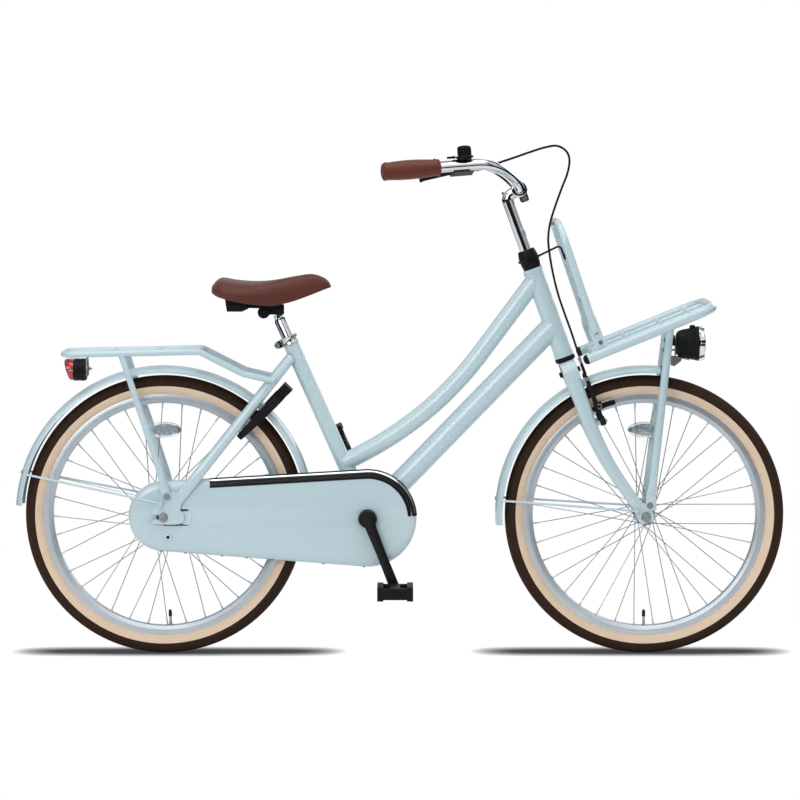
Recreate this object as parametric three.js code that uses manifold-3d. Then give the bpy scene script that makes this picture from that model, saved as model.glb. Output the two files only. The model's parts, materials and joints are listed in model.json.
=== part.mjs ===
// Dutch city bike for 24-inch wheels: step-through frame, front carrier, closed chain case, ring lock.
// Millimetres, +Z up, +X towards the front wheel, +Y to the rider's left, the chain on the -Y side.
import * as THREE from 'three';
import { mergeVertices } from 'three/addons/utils/BufferGeometryUtils.js';
import Module from 'manifold-3d';

const wasm = await Module();
wasm.setup();

// Running gaps and overruns
const seatGap = 0.3;
const overrun = 5;
const weldDistance = 1e-4;
const simplifyDistance = 0.06;

// Wheels
const rimRadius = 260.5;
const tyreHeight = 40;
const tyreRadius = rimRadius + tyreHeight;
const tyreWidth = 47;
const rimDepth = 20.5;
const rimWidth = 27;
const rimWall = 1.8;
const rimWell = 6.5;
const wheelFacets = 32;
const spokeCount = 36;
const spokeCrossings = 3;
const spokeRadius = 1.15;
const axleRadius = 4.8;
const nutRadius = 9;
const nutHeight = 8;
const frontHubHalf = 50;
const frontFlangeRadius = 22;
const frontBarrelRadius = 12;
const frontFlangePlace = 31;
const rearHubHalf = 60;
const rearFlangeRadius = 33;
const rearBarrelRadius = 26;
const rearFlangePlace = 23;
const flangeThickness = 3;
const reflectorLength = 72;
const reflectorHeight = 34;
const reflectorInset = 78.5;
const reflectorPlace = rimRadius - reflectorInset;

// Mudguards and stays
const mudguardGap = 20.5;
const mudguardRadius = tyreRadius + mudguardGap;
const mudguardHalfWidth = 30;
const mudguardSkirt = 15;
const mudguardWall = 1.5;
const rearGuardFrom = 16.2;
const rearGuardTo = 176.3;
const frontGuardFrom = 84;
const frontGuardTo = 184;
const guardTip = 3.2;
const stayRadius = 2.5;

// Frame
const chainStayGap = 116;
const chainStayLength = mudguardRadius + chainStayGap;
const frontReach = 595;
const wheelbase = chainStayLength + frontReach;
const bottomBracketDrop = 4;
const bottomBracketRadius = 21;
const bottomBracketWidth = 68;
const seatAngle = 24;
const seatTubeLength = 424;
const seatTubeRadius = 16.7;
const headAngle = 20;
const forkRake = 46;
const crownGap = 6.6;
const crownHeight = 41;
const headsetRingHeight = 9.6;
const headTubeLow = mudguardRadius + crownGap + crownHeight + headsetRingHeight + 2 * seatGap;
const headTubeLength = 201.2;
const headTubeHigh = headTubeLow + headTubeLength;
const headTubeRadius = 20;
const topTubeRadius = 19.5;
const topTubeDrop = 23;
const topTubeHeadPlace = headTubeHigh - topTubeDrop;
const topTubeSeatPlace = 126;
const topTubeHeadSlope = 53.4;
const topTubeSeatSlope = 27.5;
const topTubeBend = 740;
const downTubeRadius = 24.5;
const downTubeRise = 70.7;
const downTubePlace = headTubeLow + downTubeRise;
const dropoutThickness = 5;
const dropoutLength = 45;
const chainStayRadius = 8.5;
const chainStaySpread = 47;
const seatStayRise = 54;
const seatStayPlace = mudguardRadius + seatStayRise;
const seatStayRadius = 11.5;
const seatStaySpread = 47;

// Seat post and saddle
const seatPostRadius = 13.2;
const seatPostLength = 215;
const seatPostRise = 40;
const saddleLength = 251;
const saddleWidth = 192;
const saddleHeight = 68.5;

// Fork, headset and stem
const steererRadius = 14.3;
const steererBore = 13;
const steererRise = 32;
const steererTop = headTubeHigh + steererRise;
const headsetRingRadius = 22;
const headsetCapLip = 10.3;
const headsetCapHeight = steererRise - seatGap + headsetCapLip;
const headsetCapRadius = 20.5;
const crownWidth = 112;
const crownDepth = 34;
const bladeSpread = 44.5;
const bladeDepth = 17;
const bladeWidth = 11.5;
const stemRadius = 12.7;
const stemRise = 126;
const stemTop = steererTop + stemRise;
const stemReach = 31;
const stemClampRadius = 17;
const stemClampWidth = 40;

// Handlebar, in the steering frame: forwards, sideways, up the steering axis
const barRadius = 11;
const barHalfWidth = 285;
const barSweep = 259;
const barRise = 135;
const gripLength = 120;
const gripRadius = 19.5;

// Chain drive and case
const chainPitch = 12.7;
const chainringTeeth = 38;
const sprocketTeeth = 18;
const chainLine = 43;
const toothedPlate = 2.6;
const chainWidth = 8;
const chainHeight = 8.4;
const caseFrontRadius = 104.5;
const caseRearRadius = 75;
const caseWall = 1.5;
const caseInner = 31;
const caseOuter = 58;
const caseTrimWidth = 19;
const crankLength = 160;
const crankAngle = 21.6;
const crankInner = 65;
const crankThickness = 12;
const crankBossRadius = 18.5;
const spindleRadius = 8.6;
const pedalLength = 76;
const pedalWidth = 84;
const pedalHeight = 24;
const pedalRim = 30;

// Carriers
const carrierTube = 10.5;
const frontCarrierHalf = 140;
const frontCarrierLength = 284;
const frontCarrierStart = 42;
const frontCarrierGap = 46;
const frontCarrierPlace = mudguardRadius + frontCarrierGap;
const frontCarrierTilt = 2.2;
const backrestHeight = 287;
const backrestTube = 8.4;
const backrestRailShares = [0.36, 0.74];
const frontLegSpread = 49;
const rearCarrierTube = 7;
const rearCarrierHalf = 62;
const rearCarrierGap = 27;
const rearCarrierHeight = mudguardRadius + rearCarrierGap;
const rearLampDepth = 49;

// Headlamp
const lampRadius = 37.5;
const lampDepth = 48;

// Ring lock
const lockAngle = 46;
const lockInset = 8.5;
const lockCentre = tyreRadius - lockInset;
const lockRingRadius = 60;
const lockHalfBand = 11;
const lockHalfThickness = 13;
const lockMouth = 32;
const shackleRadius = 4.5;
const shackleArc = 96;
const lockTravel = 80;

// Kickstand
const kickstandPlace = 90;
const kickstandLength = 288;
const kickstandRadius = 6.5;
const kickstandSide = 54;
const kickstandTilt = 18;

const paint = { color: 0xbbd3da, roughness: 0.32, metalness: 0.1 };
const chrome = { color: 0xd8dadc, roughness: 0.14, metalness: 1 };
const steel = { color: 0xa9adb0, roughness: 0.38, metalness: 0.9 };
const alloy = { color: 0xb9bdc0, roughness: 0.42, metalness: 0.8 };
const blackPlastic = { color: 0x17181a, roughness: 0.5, metalness: 0 };
const blackMetal = { color: 0x141516, roughness: 0.34, metalness: 0.4 };
const brownRubber = { color: 0x3a2a20, roughness: 0.88, metalness: 0 };
const brownLeather = { color: 0x5f3228, roughness: 0.5, metalness: 0 };
const redLens = { color: 0xc3141c, roughness: 0.12, metalness: 0 };
const clearLens = { color: 0xdfe6e8, roughness: 0.1, metalness: 0 };

const radians = THREE.MathUtils.degToRad;
const point = (x, y, z) => new THREE.Vector3(x, y, z);
const along = (from, to, share) => from.clone().lerp(to, share);

// A bore of a few flat sides that still clears a round bar by the seat gap
const loose = (radius, sides = 12) => (radius + seatGap) / Math.cos(Math.PI / sides);

// Geometry helpers

// Shared vertices, no empty triangles, and faces that point out
function closed(geometry) {
  const bare = geometry.clone();
  for (const name of Object.keys(bare.attributes)) {
    if (name !== 'position') bare.deleteAttribute(name);
  }
  const merged = mergeVertices(bare, weldDistance);
  const place = merged.attributes.position;
  const corner = [0, 1, 2].map(() => new THREE.Vector3());
  const triangles = [];
  let volume = 0;
  for (let i = 0; i < merged.index.count; i += 3) {
    const ids = [0, 1, 2].map((k) => merged.index.getX(i + k));
    if (new Set(ids).size < 3) continue;
    ids.forEach((id, k) => corner[k].fromBufferAttribute(place, id));
    volume += corner[0].dot(corner[1].clone().cross(corner[2]));
    triangles.push(ids);
  }
  const outward = volume > 0;
  merged.setIndex(triangles.flatMap(([a, b, c]) => (outward ? [a, b, c] : [a, c, b])));
  return merged;
}

function toSolid(geometry) {
  const shell = closed(geometry);
  const vertProperties = Float32Array.from(shell.attributes.position.array);
  const triVerts = Uint32Array.from(shell.index.array);
  return new wasm.Manifold(new wasm.Mesh({ numProp: 3, vertProperties, triVerts }));
}

function toGeometry(solid) {
  const mesh = solid.simplify(simplifyDistance).getMesh();
  const geometry = new THREE.BufferGeometry();
  geometry.setAttribute('position', new THREE.Float32BufferAttribute(mesh.vertProperties, 3));
  geometry.setIndex(Array.from(mesh.triVerts));
  return geometry;
}

function join(...geometries) {
  return toGeometry(geometries.map(toSolid).reduce((whole, next) => whole.add(next)));
}

function cut(base, ...tools) {
  return toGeometry(tools.map(toSolid).reduce((whole, tool) => whole.subtract(tool), toSolid(base)));
}

function common(base, tool) {
  return toGeometry(toSolid(base).intersect(toSolid(tool)));
}

function moved(geometry, x, y, z) {
  return geometry.clone().translate(x, y, z);
}

function mirrored(geometry) {
  return closed(geometry.clone().scale(1, -1, 1));
}

// A round bar between two points, tapered when the second radius differs
function rod(from, to, radius, sides = 10, endRadius = radius) {
  const axis = to.clone().sub(from);
  const geometry = new THREE.CylinderGeometry(endRadius, radius, axis.length(), sides);
  const turn = new THREE.Quaternion().setFromUnitVectors(point(0, 1, 0), axis.clone().normalize());
  geometry.applyQuaternion(turn);
  const middle = along(from, to, 0.5);
  return geometry.translate(middle.x, middle.y, middle.z);
}

// A bar across the bike, centred at x, z
function crossbar(x, z, from, to, radius, sides = 12) {
  return rod(point(x, from, z), point(x, to, z), radius, sides);
}

function block(x0, x1, y0, y1, z0, z1) {
  const geometry = new THREE.BoxGeometry(Math.abs(x1 - x0), Math.abs(y1 - y0), Math.abs(z1 - z0));
  return geometry.translate((x0 + x1) / 2, (y0 + y1) / 2, (z0 + z1) / 2);
}

// A curve that visits the given stations one by one, so that an extrusion has a step at each of them
class Stations extends THREE.Curve {
  constructor(stations) {
    super();
    this.stations = stations;
  }

  getPoint(t) {
    return this.stations[Math.round(t * (this.stations.length - 1))].clone();
  }

  getPointAt(t) {
    return this.getPoint(t);
  }

  getTangentAt(t) {
    const last = this.stations.length - 1;
    const at = Math.round(t * last);
    const before = this.stations[Math.max(at - 1, 0)];
    const after = this.stations[Math.min(at + 1, last)];
    return after.clone().sub(before).normalize();
  }
}

function disc(radius, sides) {
  const shape = new THREE.Shape();
  for (let i = 0; i < sides; i += 1) {
    const turn = (2 * Math.PI * i) / sides;
    const [x, y] = [radius * Math.cos(turn), radius * Math.sin(turn)];
    if (i === 0) shape.moveTo(x, y);
    else shape.lineTo(x, y);
  }
  shape.closePath();
  return shape;
}

function tube(stations, radius, sides = 8) {
  const extrudePath = new Stations(stations);
  return new THREE.ExtrudeGeometry(disc(radius, sides), { steps: stations.length - 1, extrudePath });
}

// The corners of a polyline rounded to a bend radius
function rounded(corners, bend, steps = 3) {
  const path = [corners[0]];
  for (let i = 1; i + 1 < corners.length; i += 1) {
    const inward = corners[i - 1].clone().sub(corners[i]).normalize();
    const outward = corners[i + 1].clone().sub(corners[i]).normalize();
    const half = inward.angleTo(outward) / 2;
    const bisector = inward.clone().add(outward).normalize();
    const centre = corners[i].clone().addScaledVector(bisector, bend / Math.sin(half));
    const first = corners[i].clone().addScaledVector(inward, bend / Math.tan(half)).sub(centre);
    const last = corners[i].clone().addScaledVector(outward, bend / Math.tan(half)).sub(centre);
    const turn = new THREE.Quaternion().setFromUnitVectors(
      first.clone().normalize(),
      last.clone().normalize(),
    );
    for (let k = 0; k <= steps; k += 1) {
      const part = new THREE.Quaternion().slerp(turn, k / steps);
      path.push(first.clone().applyQuaternion(part).add(centre));
    }
  }
  path.push(corners.at(-1));
  return path;
}

// A skin over rings of equally many points, closed by a flat cap at each end
function loft(rings, outline) {
  const count = outline.length;
  const positions = rings.flat().flatMap((p) => [p.x, p.y, p.z]);
  const index = [];
  for (let r = 0; r + 1 < rings.length; r += 1) {
    for (let i = 0; i < count; i += 1) {
      const a = r * count + i;
      const b = r * count + ((i + 1) % count);
      index.push(a, b, b + count, a, b + count, a + count);
    }
  }
  const lastRing = (rings.length - 1) * count;
  const clockwise = THREE.ShapeUtils.isClockWise(outline);
  for (const [a, p, q] of THREE.ShapeUtils.triangulateShape(outline, [])) {
    const [b, c] = clockwise ? [q, p] : [p, q];
    index.push(a, c, b, lastRing + a, lastRing + b, lastRing + c);
  }
  const geometry = new THREE.BufferGeometry();
  geometry.setAttribute('position', new THREE.Float32BufferAttribute(positions, 3));
  geometry.setIndex(index);
  return closed(geometry);
}

// A square section with its corners taken off
const boxSectionShares = [
  [-1, -0.7], [-0.7, -1], [0.7, -1], [1, -0.7], [1, 0.7], [0.7, 1], [-0.7, 1], [-1, 0.7],
];

const circlePoints = (sides) => disc(1, sides).getPoints().slice(0, sides);

// A tapered tube of oval section; each radius is given per station, first in the bike's plane, then across
function ovalTube(stations, depths, widths, sides = 8) {
  const outline = circlePoints(sides);
  const route = new Stations(stations);
  const last = stations.length - 1;
  const rings = stations.map((centre, i) => {
    const ahead = route.getTangentAt(i / last);
    const depthAxis = new THREE.Vector3().crossVectors(ahead, point(0, 1, 0)).normalize();
    const widthAxis = new THREE.Vector3().crossVectors(depthAxis, ahead).normalize();
    return outline.map((p) => centre.clone()
      .addScaledVector(depthAxis, p.x * depths[i])
      .addScaledVector(widthAxis, p.y * widths[i]));
  });
  return loft(rings, outline);
}

// A closed profile of [radius, y] pairs turned about the Y axis
function turned(profile, segments = wheelFacets) {
  return new THREE.LatheGeometry(profile.map(([r, y]) => new THREE.Vector2(r, y)), segments);
}

function ring(innerRadius, outerRadius, from, to, segments = 20) {
  const profile = [[innerRadius, from], [outerRadius, from], [outerRadius, to], [innerRadius, to]];
  return turned([...profile, profile[0]], segments);
}

// A closed profile turned about an axis that starts at a given base
function turnedAlong(profile, base, direction, sides = 12) {
  const geometry = turned([...profile, profile[0]], sides);
  const turn = new THREE.Quaternion().setFromUnitVectors(point(0, 1, 0), direction.clone().normalize());
  return closed(geometry.applyQuaternion(turn).translate(base.x, base.y, base.z));
}

// A flat shape drawn in X and Z, standing between two places across the bike
function sidePlate(shape, from, to, options = {}) {
  const depth = Math.abs(to - from);
  const settings = { depth, bevelEnabled: false, curveSegments: 8, ...options };
  const geometry = new THREE.ExtrudeGeometry(shape, settings);
  return geometry.rotateX(Math.PI / 2).translate(0, Math.max(from, to), 0);
}

function outlineOf(places) {
  return new THREE.Shape(places.map(([x, y]) => new THREE.Vector2(x, y)));
}

// The outline round two circles on the line from rear to front: a belt
function belt(rear, rearRadius, front, frontRadius, steps = 12) {
  const line = front.clone().sub(rear);
  const lean = Math.atan2(line.y, line.x);
  const flare = Math.asin((frontRadius - rearRadius) / line.length());
  const places = [];
  const arc = (centre, radius, from, to, count) => {
    for (let i = 0; i <= count; i += 1) {
      const turn = lean + from + ((to - from) * i) / count;
      places.push([centre.x + radius * Math.cos(turn), centre.y + radius * Math.sin(turn)]);
    }
  };
  const quarter = Math.PI / 2;
  arc(front, frontRadius, -quarter - flare, quarter + flare, steps);
  arc(rear, rearRadius, quarter + flare, 3 * quarter - flare, steps);
  return outlineOf(places);
}

const nodes = [];

function piece(parent, name, geometry, finish) {
  const shell = closed(geometry);
  shell.computeVertexNormals();
  const mesh = new THREE.Mesh(shell, new THREE.MeshStandardMaterial(finish));
  mesh.name = name;
  parent.add(mesh);
  nodes.push(mesh);
  return mesh;
}

// Main places, measured from the rear axle in the bike's own plane
const axleHeight = tyreRadius;
const guardReach = -mudguardRadius * Math.cos(radians(rearGuardTo));
const rearAxleX = (guardReach - wheelbase - tyreRadius) / 2;
const bracket = point(
  Math.sqrt(chainStayLength ** 2 - bottomBracketDrop ** 2),
  0,
  -bottomBracketDrop,
);
const seatDirection = point(-Math.sin(radians(seatAngle)), 0, Math.cos(radians(seatAngle)));
const upSeatTube = (distance) => bracket.clone().addScaledVector(seatDirection, distance);
const steeringUp = point(-Math.sin(radians(headAngle)), 0, Math.cos(radians(headAngle)));
const steeringAhead = point(Math.cos(radians(headAngle)), 0, Math.sin(radians(headAngle)));
const steeringFoot = point(wheelbase, 0, 0).addScaledVector(steeringAhead, -forkRake);
const upSteering = (distance) => steeringFoot.clone().addScaledVector(steeringUp, distance);

const bike = new THREE.Group();
const rear = new THREE.Group();
rear.position.set(rearAxleX, 0, axleHeight);
bike.add(rear);
const steering = new THREE.Group();
steering.position.copy(steeringFoot);
steering.rotation.y = -radians(headAngle);
rear.add(steering);
const rearWheel = new THREE.Group();
rear.add(rearWheel);
const frontWheel = new THREE.Group();
frontWheel.position.set(wheelbase, 0, 0);
rear.add(frontWheel);

// Frame: head tube, two main tubes, seat tube, bottom bracket shell and the rear triangle, welded as one

const seatStayTop = upSeatTube(seatStayPlace).add(point(-seatTubeRadius * 0.75, 0, 0));
const seatStayFoot = point(dropoutLength * 0.56, 0, dropoutLength * 0.6);

function stayRoute(side) {
  const top = seatStayTop;
  const foot = seatStayFoot;
  const shares = [0, 0.1, 0.22, 0.6, 0.8, 0.9, 1];
  const plate = rearHubHalf + dropoutThickness / 2;
  const spreads = [
    seatTubeRadius,
    seatStaySpread * 0.76,
    seatStaySpread,
    (seatStaySpread + plate) / 2,
    plate + rimWall,
    plate,
    plate,
  ];
  return shares.map((share, i) => {
    const place = along(top, foot, share);
    place.y = side * spreads[i];
    return place;
  });
}

function seatStay(side, grow = 0) {
  const widthShares = [0.78, 0.78, 0.78, 0.74, 0.42, 0.24, 0.24];
  const widths = widthShares.map((share) => seatStayRadius * share + grow);
  const depths = shrinking(seatStayRadius, 0.92, 7).map((depth) => depth + grow);
  return ovalTube(stayRoute(side), depths, widths);
}

function shrinking(radius, endShare, count) {
  return Array.from({ length: count }, (_, i) => radius * (1 + ((endShare - 1) * i) / (count - 1)));
}

function chainStay(side) {
  const start = bracket.clone().setX(bracket.x - bottomBracketRadius * 0.4);
  start.y = side * bottomBracketWidth * 0.34;
  const innerPlate = rearHubHalf + dropoutThickness / 2;
  const stations = [
    start,
    point(tyreRadius * 1.08, side * (chainStaySpread * 0.8), 0),
    point(dropoutLength * 1.7, side * (chainStaySpread - rimWall), 0),
    point(dropoutLength * 1.12, side * chainStaySpread, 0),
    point(dropoutLength * 0.76, side * (innerPlate - rimWall * 1.5), 0),
    point(dropoutLength * 0.5, side * innerPlate, 0),
  ];
  const depths = [1.2, 1, 1, 1.1, 1.3, 1.3].map((share) => chainStayRadius * share);
  const widths = [1, 0.9, 0.9, 0.6, 0.4, 0.3].map((share) => chainStayRadius * share);
  return ovalTube(stations, depths, widths);
}

function dropout(side) {
  const shares = [
    [-0.5, -0.32], [0.3, -0.36], [0.82, -0.33], [0.97, -0.2], [1, 0], [0.97, 0.2], [0.82, 0.33],
    [0.86, 0.7], [0.78, 1.15], [0.4, 1.25], [-0.12, 1.05], [-0.4, 0.62], [-0.55, 0.3],
  ];
  const shape = outlineOf(shares.map(([x, z]) => [x * dropoutLength, z * dropoutLength]));
  const inner = side * rearHubHalf;
  const outer = side * (rearHubHalf + dropoutThickness);
  const plate = sidePlate(shape, inner, outer);
  const slotHalf = loose(axleRadius);
  const [from, to] = [inner - side * overrun, outer + side * overrun];
  const slot = block(-dropoutLength, 0, from, to, -slotHalf, slotHalf);
  const slotEnd = crossbar(0, 0, from, to, slotHalf);
  const far = crossbar(slotHalf, 0, from, to, slotHalf);
  const link = block(0, slotHalf, from, to, -slotHalf, slotHalf);
  return cut(plate, slot, slotEnd, far, link);
}

function topTubeRoute() {
  const head = upSteering(topTubeHeadPlace);
  const seat = upSeatTube(topTubeSeatPlace);
  const headLine = point(-Math.cos(radians(topTubeHeadSlope)), 0, -Math.sin(radians(topTubeHeadSlope)));
  const seatLine = point(Math.cos(radians(topTubeSeatSlope)), 0, Math.sin(radians(topTubeSeatSlope)));
  const gap = seat.clone().sub(head);
  const cross = headLine.x * seatLine.z - headLine.z * seatLine.x;
  const reach = (gap.x * seatLine.z - gap.z * seatLine.x) / cross;
  const corner = head.clone().addScaledVector(headLine, reach);
  const shortest = Math.min(corner.distanceTo(head), corner.distanceTo(seat));
  const half = radians(topTubeHeadSlope - topTubeSeatSlope) / 2;
  const bend = Math.min(topTubeBend, (shortest * 0.85) / Math.tan(half));
  return rounded([head, corner, seat], bend, 4);
}

function mainFrame() {
  const shellHalf = bottomBracketWidth / 2;
  const bridgePlace = stayRoute(1)[2];
  const welded = join(
    rod(upSteering(headTubeLow), upSteering(headTubeHigh), headTubeRadius, 14),
    tube(topTubeRoute(), topTubeRadius, 10),
    rod(upSteering(downTubePlace), bracket, downTubeRadius, 12),
    rod(bracket, upSeatTube(seatTubeLength), seatTubeRadius, 12),
    crossbar(bracket.x, bracket.z, -shellHalf, shellHalf, bottomBracketRadius, 16),
    crossbar(bridgePlace.x, bridgePlace.z, -seatStaySpread, seatStaySpread, seatStayRadius / 2, 6),
    ...[-1, 1].flatMap((side) => [seatStay(side), chainStay(side), dropout(side)]),
    kickstandLug(),
  );
  const steererRoom = rod(
    upSteering(headTubeLow - overrun),
    upSteering(headTubeHigh + overrun),
    loose(steererRadius + rimWall / 2),
    12,
  );
  const postRoom = rod(
    upSeatTube(seatTubeLength - seatPostLength),
    upSeatTube(seatTubeLength + overrun),
    seatPostRadius + seatGap,
    12,
  );
  const spindleRoom = crossbar(
    bracket.x,
    bracket.z,
    -shellHalf - overrun,
    shellHalf + overrun,
    loose(cartridgeRadius),
    12,
  );
  return cut(welded, steererRoom, postRoom, spindleRoom);
}

const cartridgeRadius = bottomBracketRadius - 4 * rimWall / 2;
const cartridgeFlange = bottomBracketRadius * 0.9;

// The kickstand turns about an axis that leans outwards, on a pin under the left chain stay
const lugX = bracket.x - kickstandPlace;
const lugLow = chainStayRadius * 2.6;
const kickstandTop = point(lugX, kickstandSide, -lugLow + kickstandRadius);
const kickstandAxis = point(0, Math.cos(radians(kickstandTilt)), Math.sin(radians(kickstandTilt)));

function kickstandLug() {
  const stayY = bottomBracketWidth * 0.34;
  const half = chainStayRadius * 1.6;
  const outer = kickstandSide - kickstandRadius * 3;
  const pinStart = kickstandTop.clone().addScaledVector(kickstandAxis, -kickstandRadius * 3.4);
  const pinEnd = kickstandTop.clone().addScaledVector(kickstandAxis, -kickstandRadius - seatGap);
  return join(
    block(lugX - half, lugX + half, stayY, outer, -lugLow, -chainStayRadius * 0.5),
    rod(pinStart, pinEnd, kickstandRadius * 1.2, 8),
  );
}

piece(rear, 'main_frame', mainFrame(), paint);

// Bottom bracket cartridge: one tube with a lip at each end, fixed in the shell
function cartridge() {
  const half = bottomBracketWidth / 2;
  const bore = loose(spindleRadius, 16);
  const lip = half + rimWall;
  const profile = [
    [bore, -lip], [cartridgeFlange, -lip], [cartridgeFlange, -half - seatGap],
    [cartridgeRadius, -half - seatGap], [cartridgeRadius, half + seatGap],
    [cartridgeFlange, half + seatGap], [cartridgeFlange, lip], [bore, lip],
  ];
  return turned([...profile, profile[0]], 12).translate(bracket.x, 0, bracket.z);
}

piece(rear, 'bottom_bracket_cartridge', cartridge(), steel);

// Headset: a ring under the head tube in the frame, a cap over it that turns with the fork
const ringTop = headTubeLow - seatGap;
const ringLow = ringTop - headsetRingHeight;
const capLow = headTubeHigh + seatGap;

function collar(low, high, radius, bulge, bore, sides = 16) {
  const middle = (low + high) / 2;
  const profile = [
    [bore, low], [radius, low], [radius + bulge, middle], [radius, high], [bore, high],
  ];
  return turned([...profile, profile[0]], sides).rotateX(Math.PI / 2);
}

// Collars are turned about the steering axis; this lays them on the frame's head tube
function onSteering(geometry) {
  return geometry.clone().rotateY(-radians(headAngle)).translate(steeringFoot.x, 0, steeringFoot.z);
}

const lowerRing = collar(ringLow, ringTop, headsetRingRadius - rimWall, rimWall, loose(steererRadius, 16));
piece(rear, 'headset_lower_ring', onSteering(lowerRing), blackPlastic);

// Rear axle with its locknuts and outer nuts

function axle(hubHalf, plateThickness, coneRadius, innerEnds) {
  const outer = hubHalf + plateThickness + seatGap;
  const end = outer + nutHeight + rimWall;
  const cone = hubHalf - seatGap;
  const washer = nutRadius * 1.25;
  const shaft = turned([
    [0, -end], [axleRadius, -end], [axleRadius, -outer - rimWall], [washer, -outer - rimWall],
    [washer, -outer], [axleRadius, -outer], [axleRadius, -cone], [coneRadius, -cone],
    [coneRadius, -innerEnds[0]], [axleRadius, -innerEnds[0]], [axleRadius, innerEnds[1]],
    [coneRadius, innerEnds[1]], [coneRadius, cone], [axleRadius, cone], [axleRadius, outer],
    [washer, outer], [washer, outer + rimWall], [axleRadius, outer + rimWall], [axleRadius, end],
    [0, end], [0, -end],
  ], 6);
  const nuts = [-1, 1].map((side) => (
    crossbar(0, 0, side * (outer + rimWall / 2), side * (outer + nutHeight), nutRadius, 6)));
  return join(shaft, ...nuts);
}

const driverEnd = chainLine + 4 * rimWall / 2;
const brakeArmY = chainLine + rimWall / 2;
const brakeArmThickness = 3;
const rearConeEnds = [driverEnd + seatGap, brakeArmY + brakeArmThickness + seatGap];
piece(rear, 'rear_axle', axle(rearHubHalf, dropoutThickness, nutRadius, rearConeEnds), steel);

// Coaster brake arm: a flat lever from the hub to a band round the left chain stay
function coasterArm() {
  const end = dropoutLength * 3.2;
  const low = chainStayRadius * 2.3;
  const half = chainStayRadius * 0.85;
  const boss = crossbar(0, 0, brakeArmY, brakeArmY + brakeArmThickness, nutRadius * 1.7, 16);
  const places = [
    [0, -nutRadius * 1.6], [dropoutLength * 0.7, -low - half], [end, -low - half * 1.3],
    [end + half, -low], [end, -low + half * 0.7], [dropoutLength * 0.9, -low + half],
    [nutRadius, nutRadius],
  ];
  const lever = sidePlate(outlineOf(places), brakeArmY, brakeArmY + brakeArmThickness);
  const bore = crossbar(0, 0, brakeArmY - overrun, brakeArmY + overrun * 2, loose(axleRadius), 12);
  return cut(join(boss, lever), bore);
}

piece(rear, 'coaster_brake_arm', coasterArm(), steel);

// Wheels: tyre, rim and the hub laced with crossed spokes, each turned about its own axle

function tyre() {
  const half = tyreWidth / 2;
  const wellR = rimRadius - rimWell + seatGap;
  const inside = rimWidth / 2 - rimWall - seatGap;
  const height = tyreHeight;
  const halfProfile = [
    [wellR, inside * 0.86], [rimRadius + seatGap * 2, inside * 0.98],
    [rimRadius + height * 0.08, half * 0.74], [rimRadius + height * 0.48, half],
    [rimRadius + height * 0.84, half * 0.74], [tyreRadius, half * 0.22],
  ];
  const profile = [...halfProfile, ...halfProfile.slice().reverse().map(([r, y]) => [r, -y])];
  return turned([...profile, profile[0]]);
}

function rim() {
  const half = rimWidth / 2;
  const inner = rimRadius - rimDepth;
  const halfProfile = [
    [inner, half * 0.6], [rimRadius, half], [rimRadius - rimWell, half - rimWall * 1.2],
  ];
  const profile = [...halfProfile, ...halfProfile.slice().reverse().map(([r, y]) => [r, -y])];
  return turned([...profile, profile[0]]);
}

const rimFacetInner = (rimRadius - rimDepth) * Math.cos(Math.PI / wheelFacets);

function lacedHub(flangeRadius, barrelRadius, flangePlace, from, to, phase = 0) {
  const edge = flangePlace + flangeThickness / 2;
  const inset = flangePlace - flangeThickness / 2;
  const bore = loose(axleRadius);
  const neck = barrelRadius * 0.8;
  const profile = [
    [bore, from], [neck, from], [neck, -edge], [flangeRadius, -edge], [flangeRadius, -inset],
    [barrelRadius, -inset], [barrelRadius, inset], [flangeRadius, inset], [flangeRadius, edge],
    [neck, edge], [neck, to], [bore, to],
  ];
  const shell = turned([...profile, profile[0]], 12);
  const holeCircle = flangeRadius - flangeThickness;
  const pitch = (2 * Math.PI) / spokeCount;
  const lead = pitch * 2 * spokeCrossings;
  const spokes = Array.from({ length: spokeCount }, (_, k) => {
    const side = k % 2 === 0 ? 1 : -1;
    const direction = Math.floor(k / 2) % 2 === 0 ? 1 : -1;
    const atRim = (k + 0.5) * pitch + phase;
    const atHub = atRim + direction * lead;
    const hubY = side * (flangePlace + direction * flangeThickness * 0.6);
    const reach = rimFacetInner - 2 * seatGap;
    return rod(
      point(holeCircle * Math.cos(atHub), hubY, holeCircle * Math.sin(atHub)),
      point(reach * Math.cos(atRim), side * spokeRadius, reach * Math.sin(atRim)),
      spokeRadius,
      3,
    );
  });
  return join(shell, ...spokes);
}

// The reflector fills the gap between the two sets of spokes at its outer edge
function spokeReflector(flangeRadius, flangePlace) {
  const edge = reflectorPlace + reflectorHeight / 2;
  const share = (rimFacetInner - edge) / (rimFacetInner - flangeRadius + flangeThickness);
  const half = flangePlace * share - seatGap * 2;
  const outline = new THREE.Shape();
  outline.absellipse(0, reflectorPlace, reflectorLength / 2, reflectorHeight / 2, 0, 2 * Math.PI, false, 0);
  return sidePlate(outline, -half, half, { curveSegments: 12 });
}

function wheel(parent, name, hub, reflector) {
  piece(parent, `${name}_tyre`, tyre(), brownRubber);
  piece(parent, `${name}_rim`, rim(), alloy);
  piece(parent, `${name}_hub_and_spokes`, hub, steel);
  piece(parent, `${name}_reflector`, reflector, clearLens);
}

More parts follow.
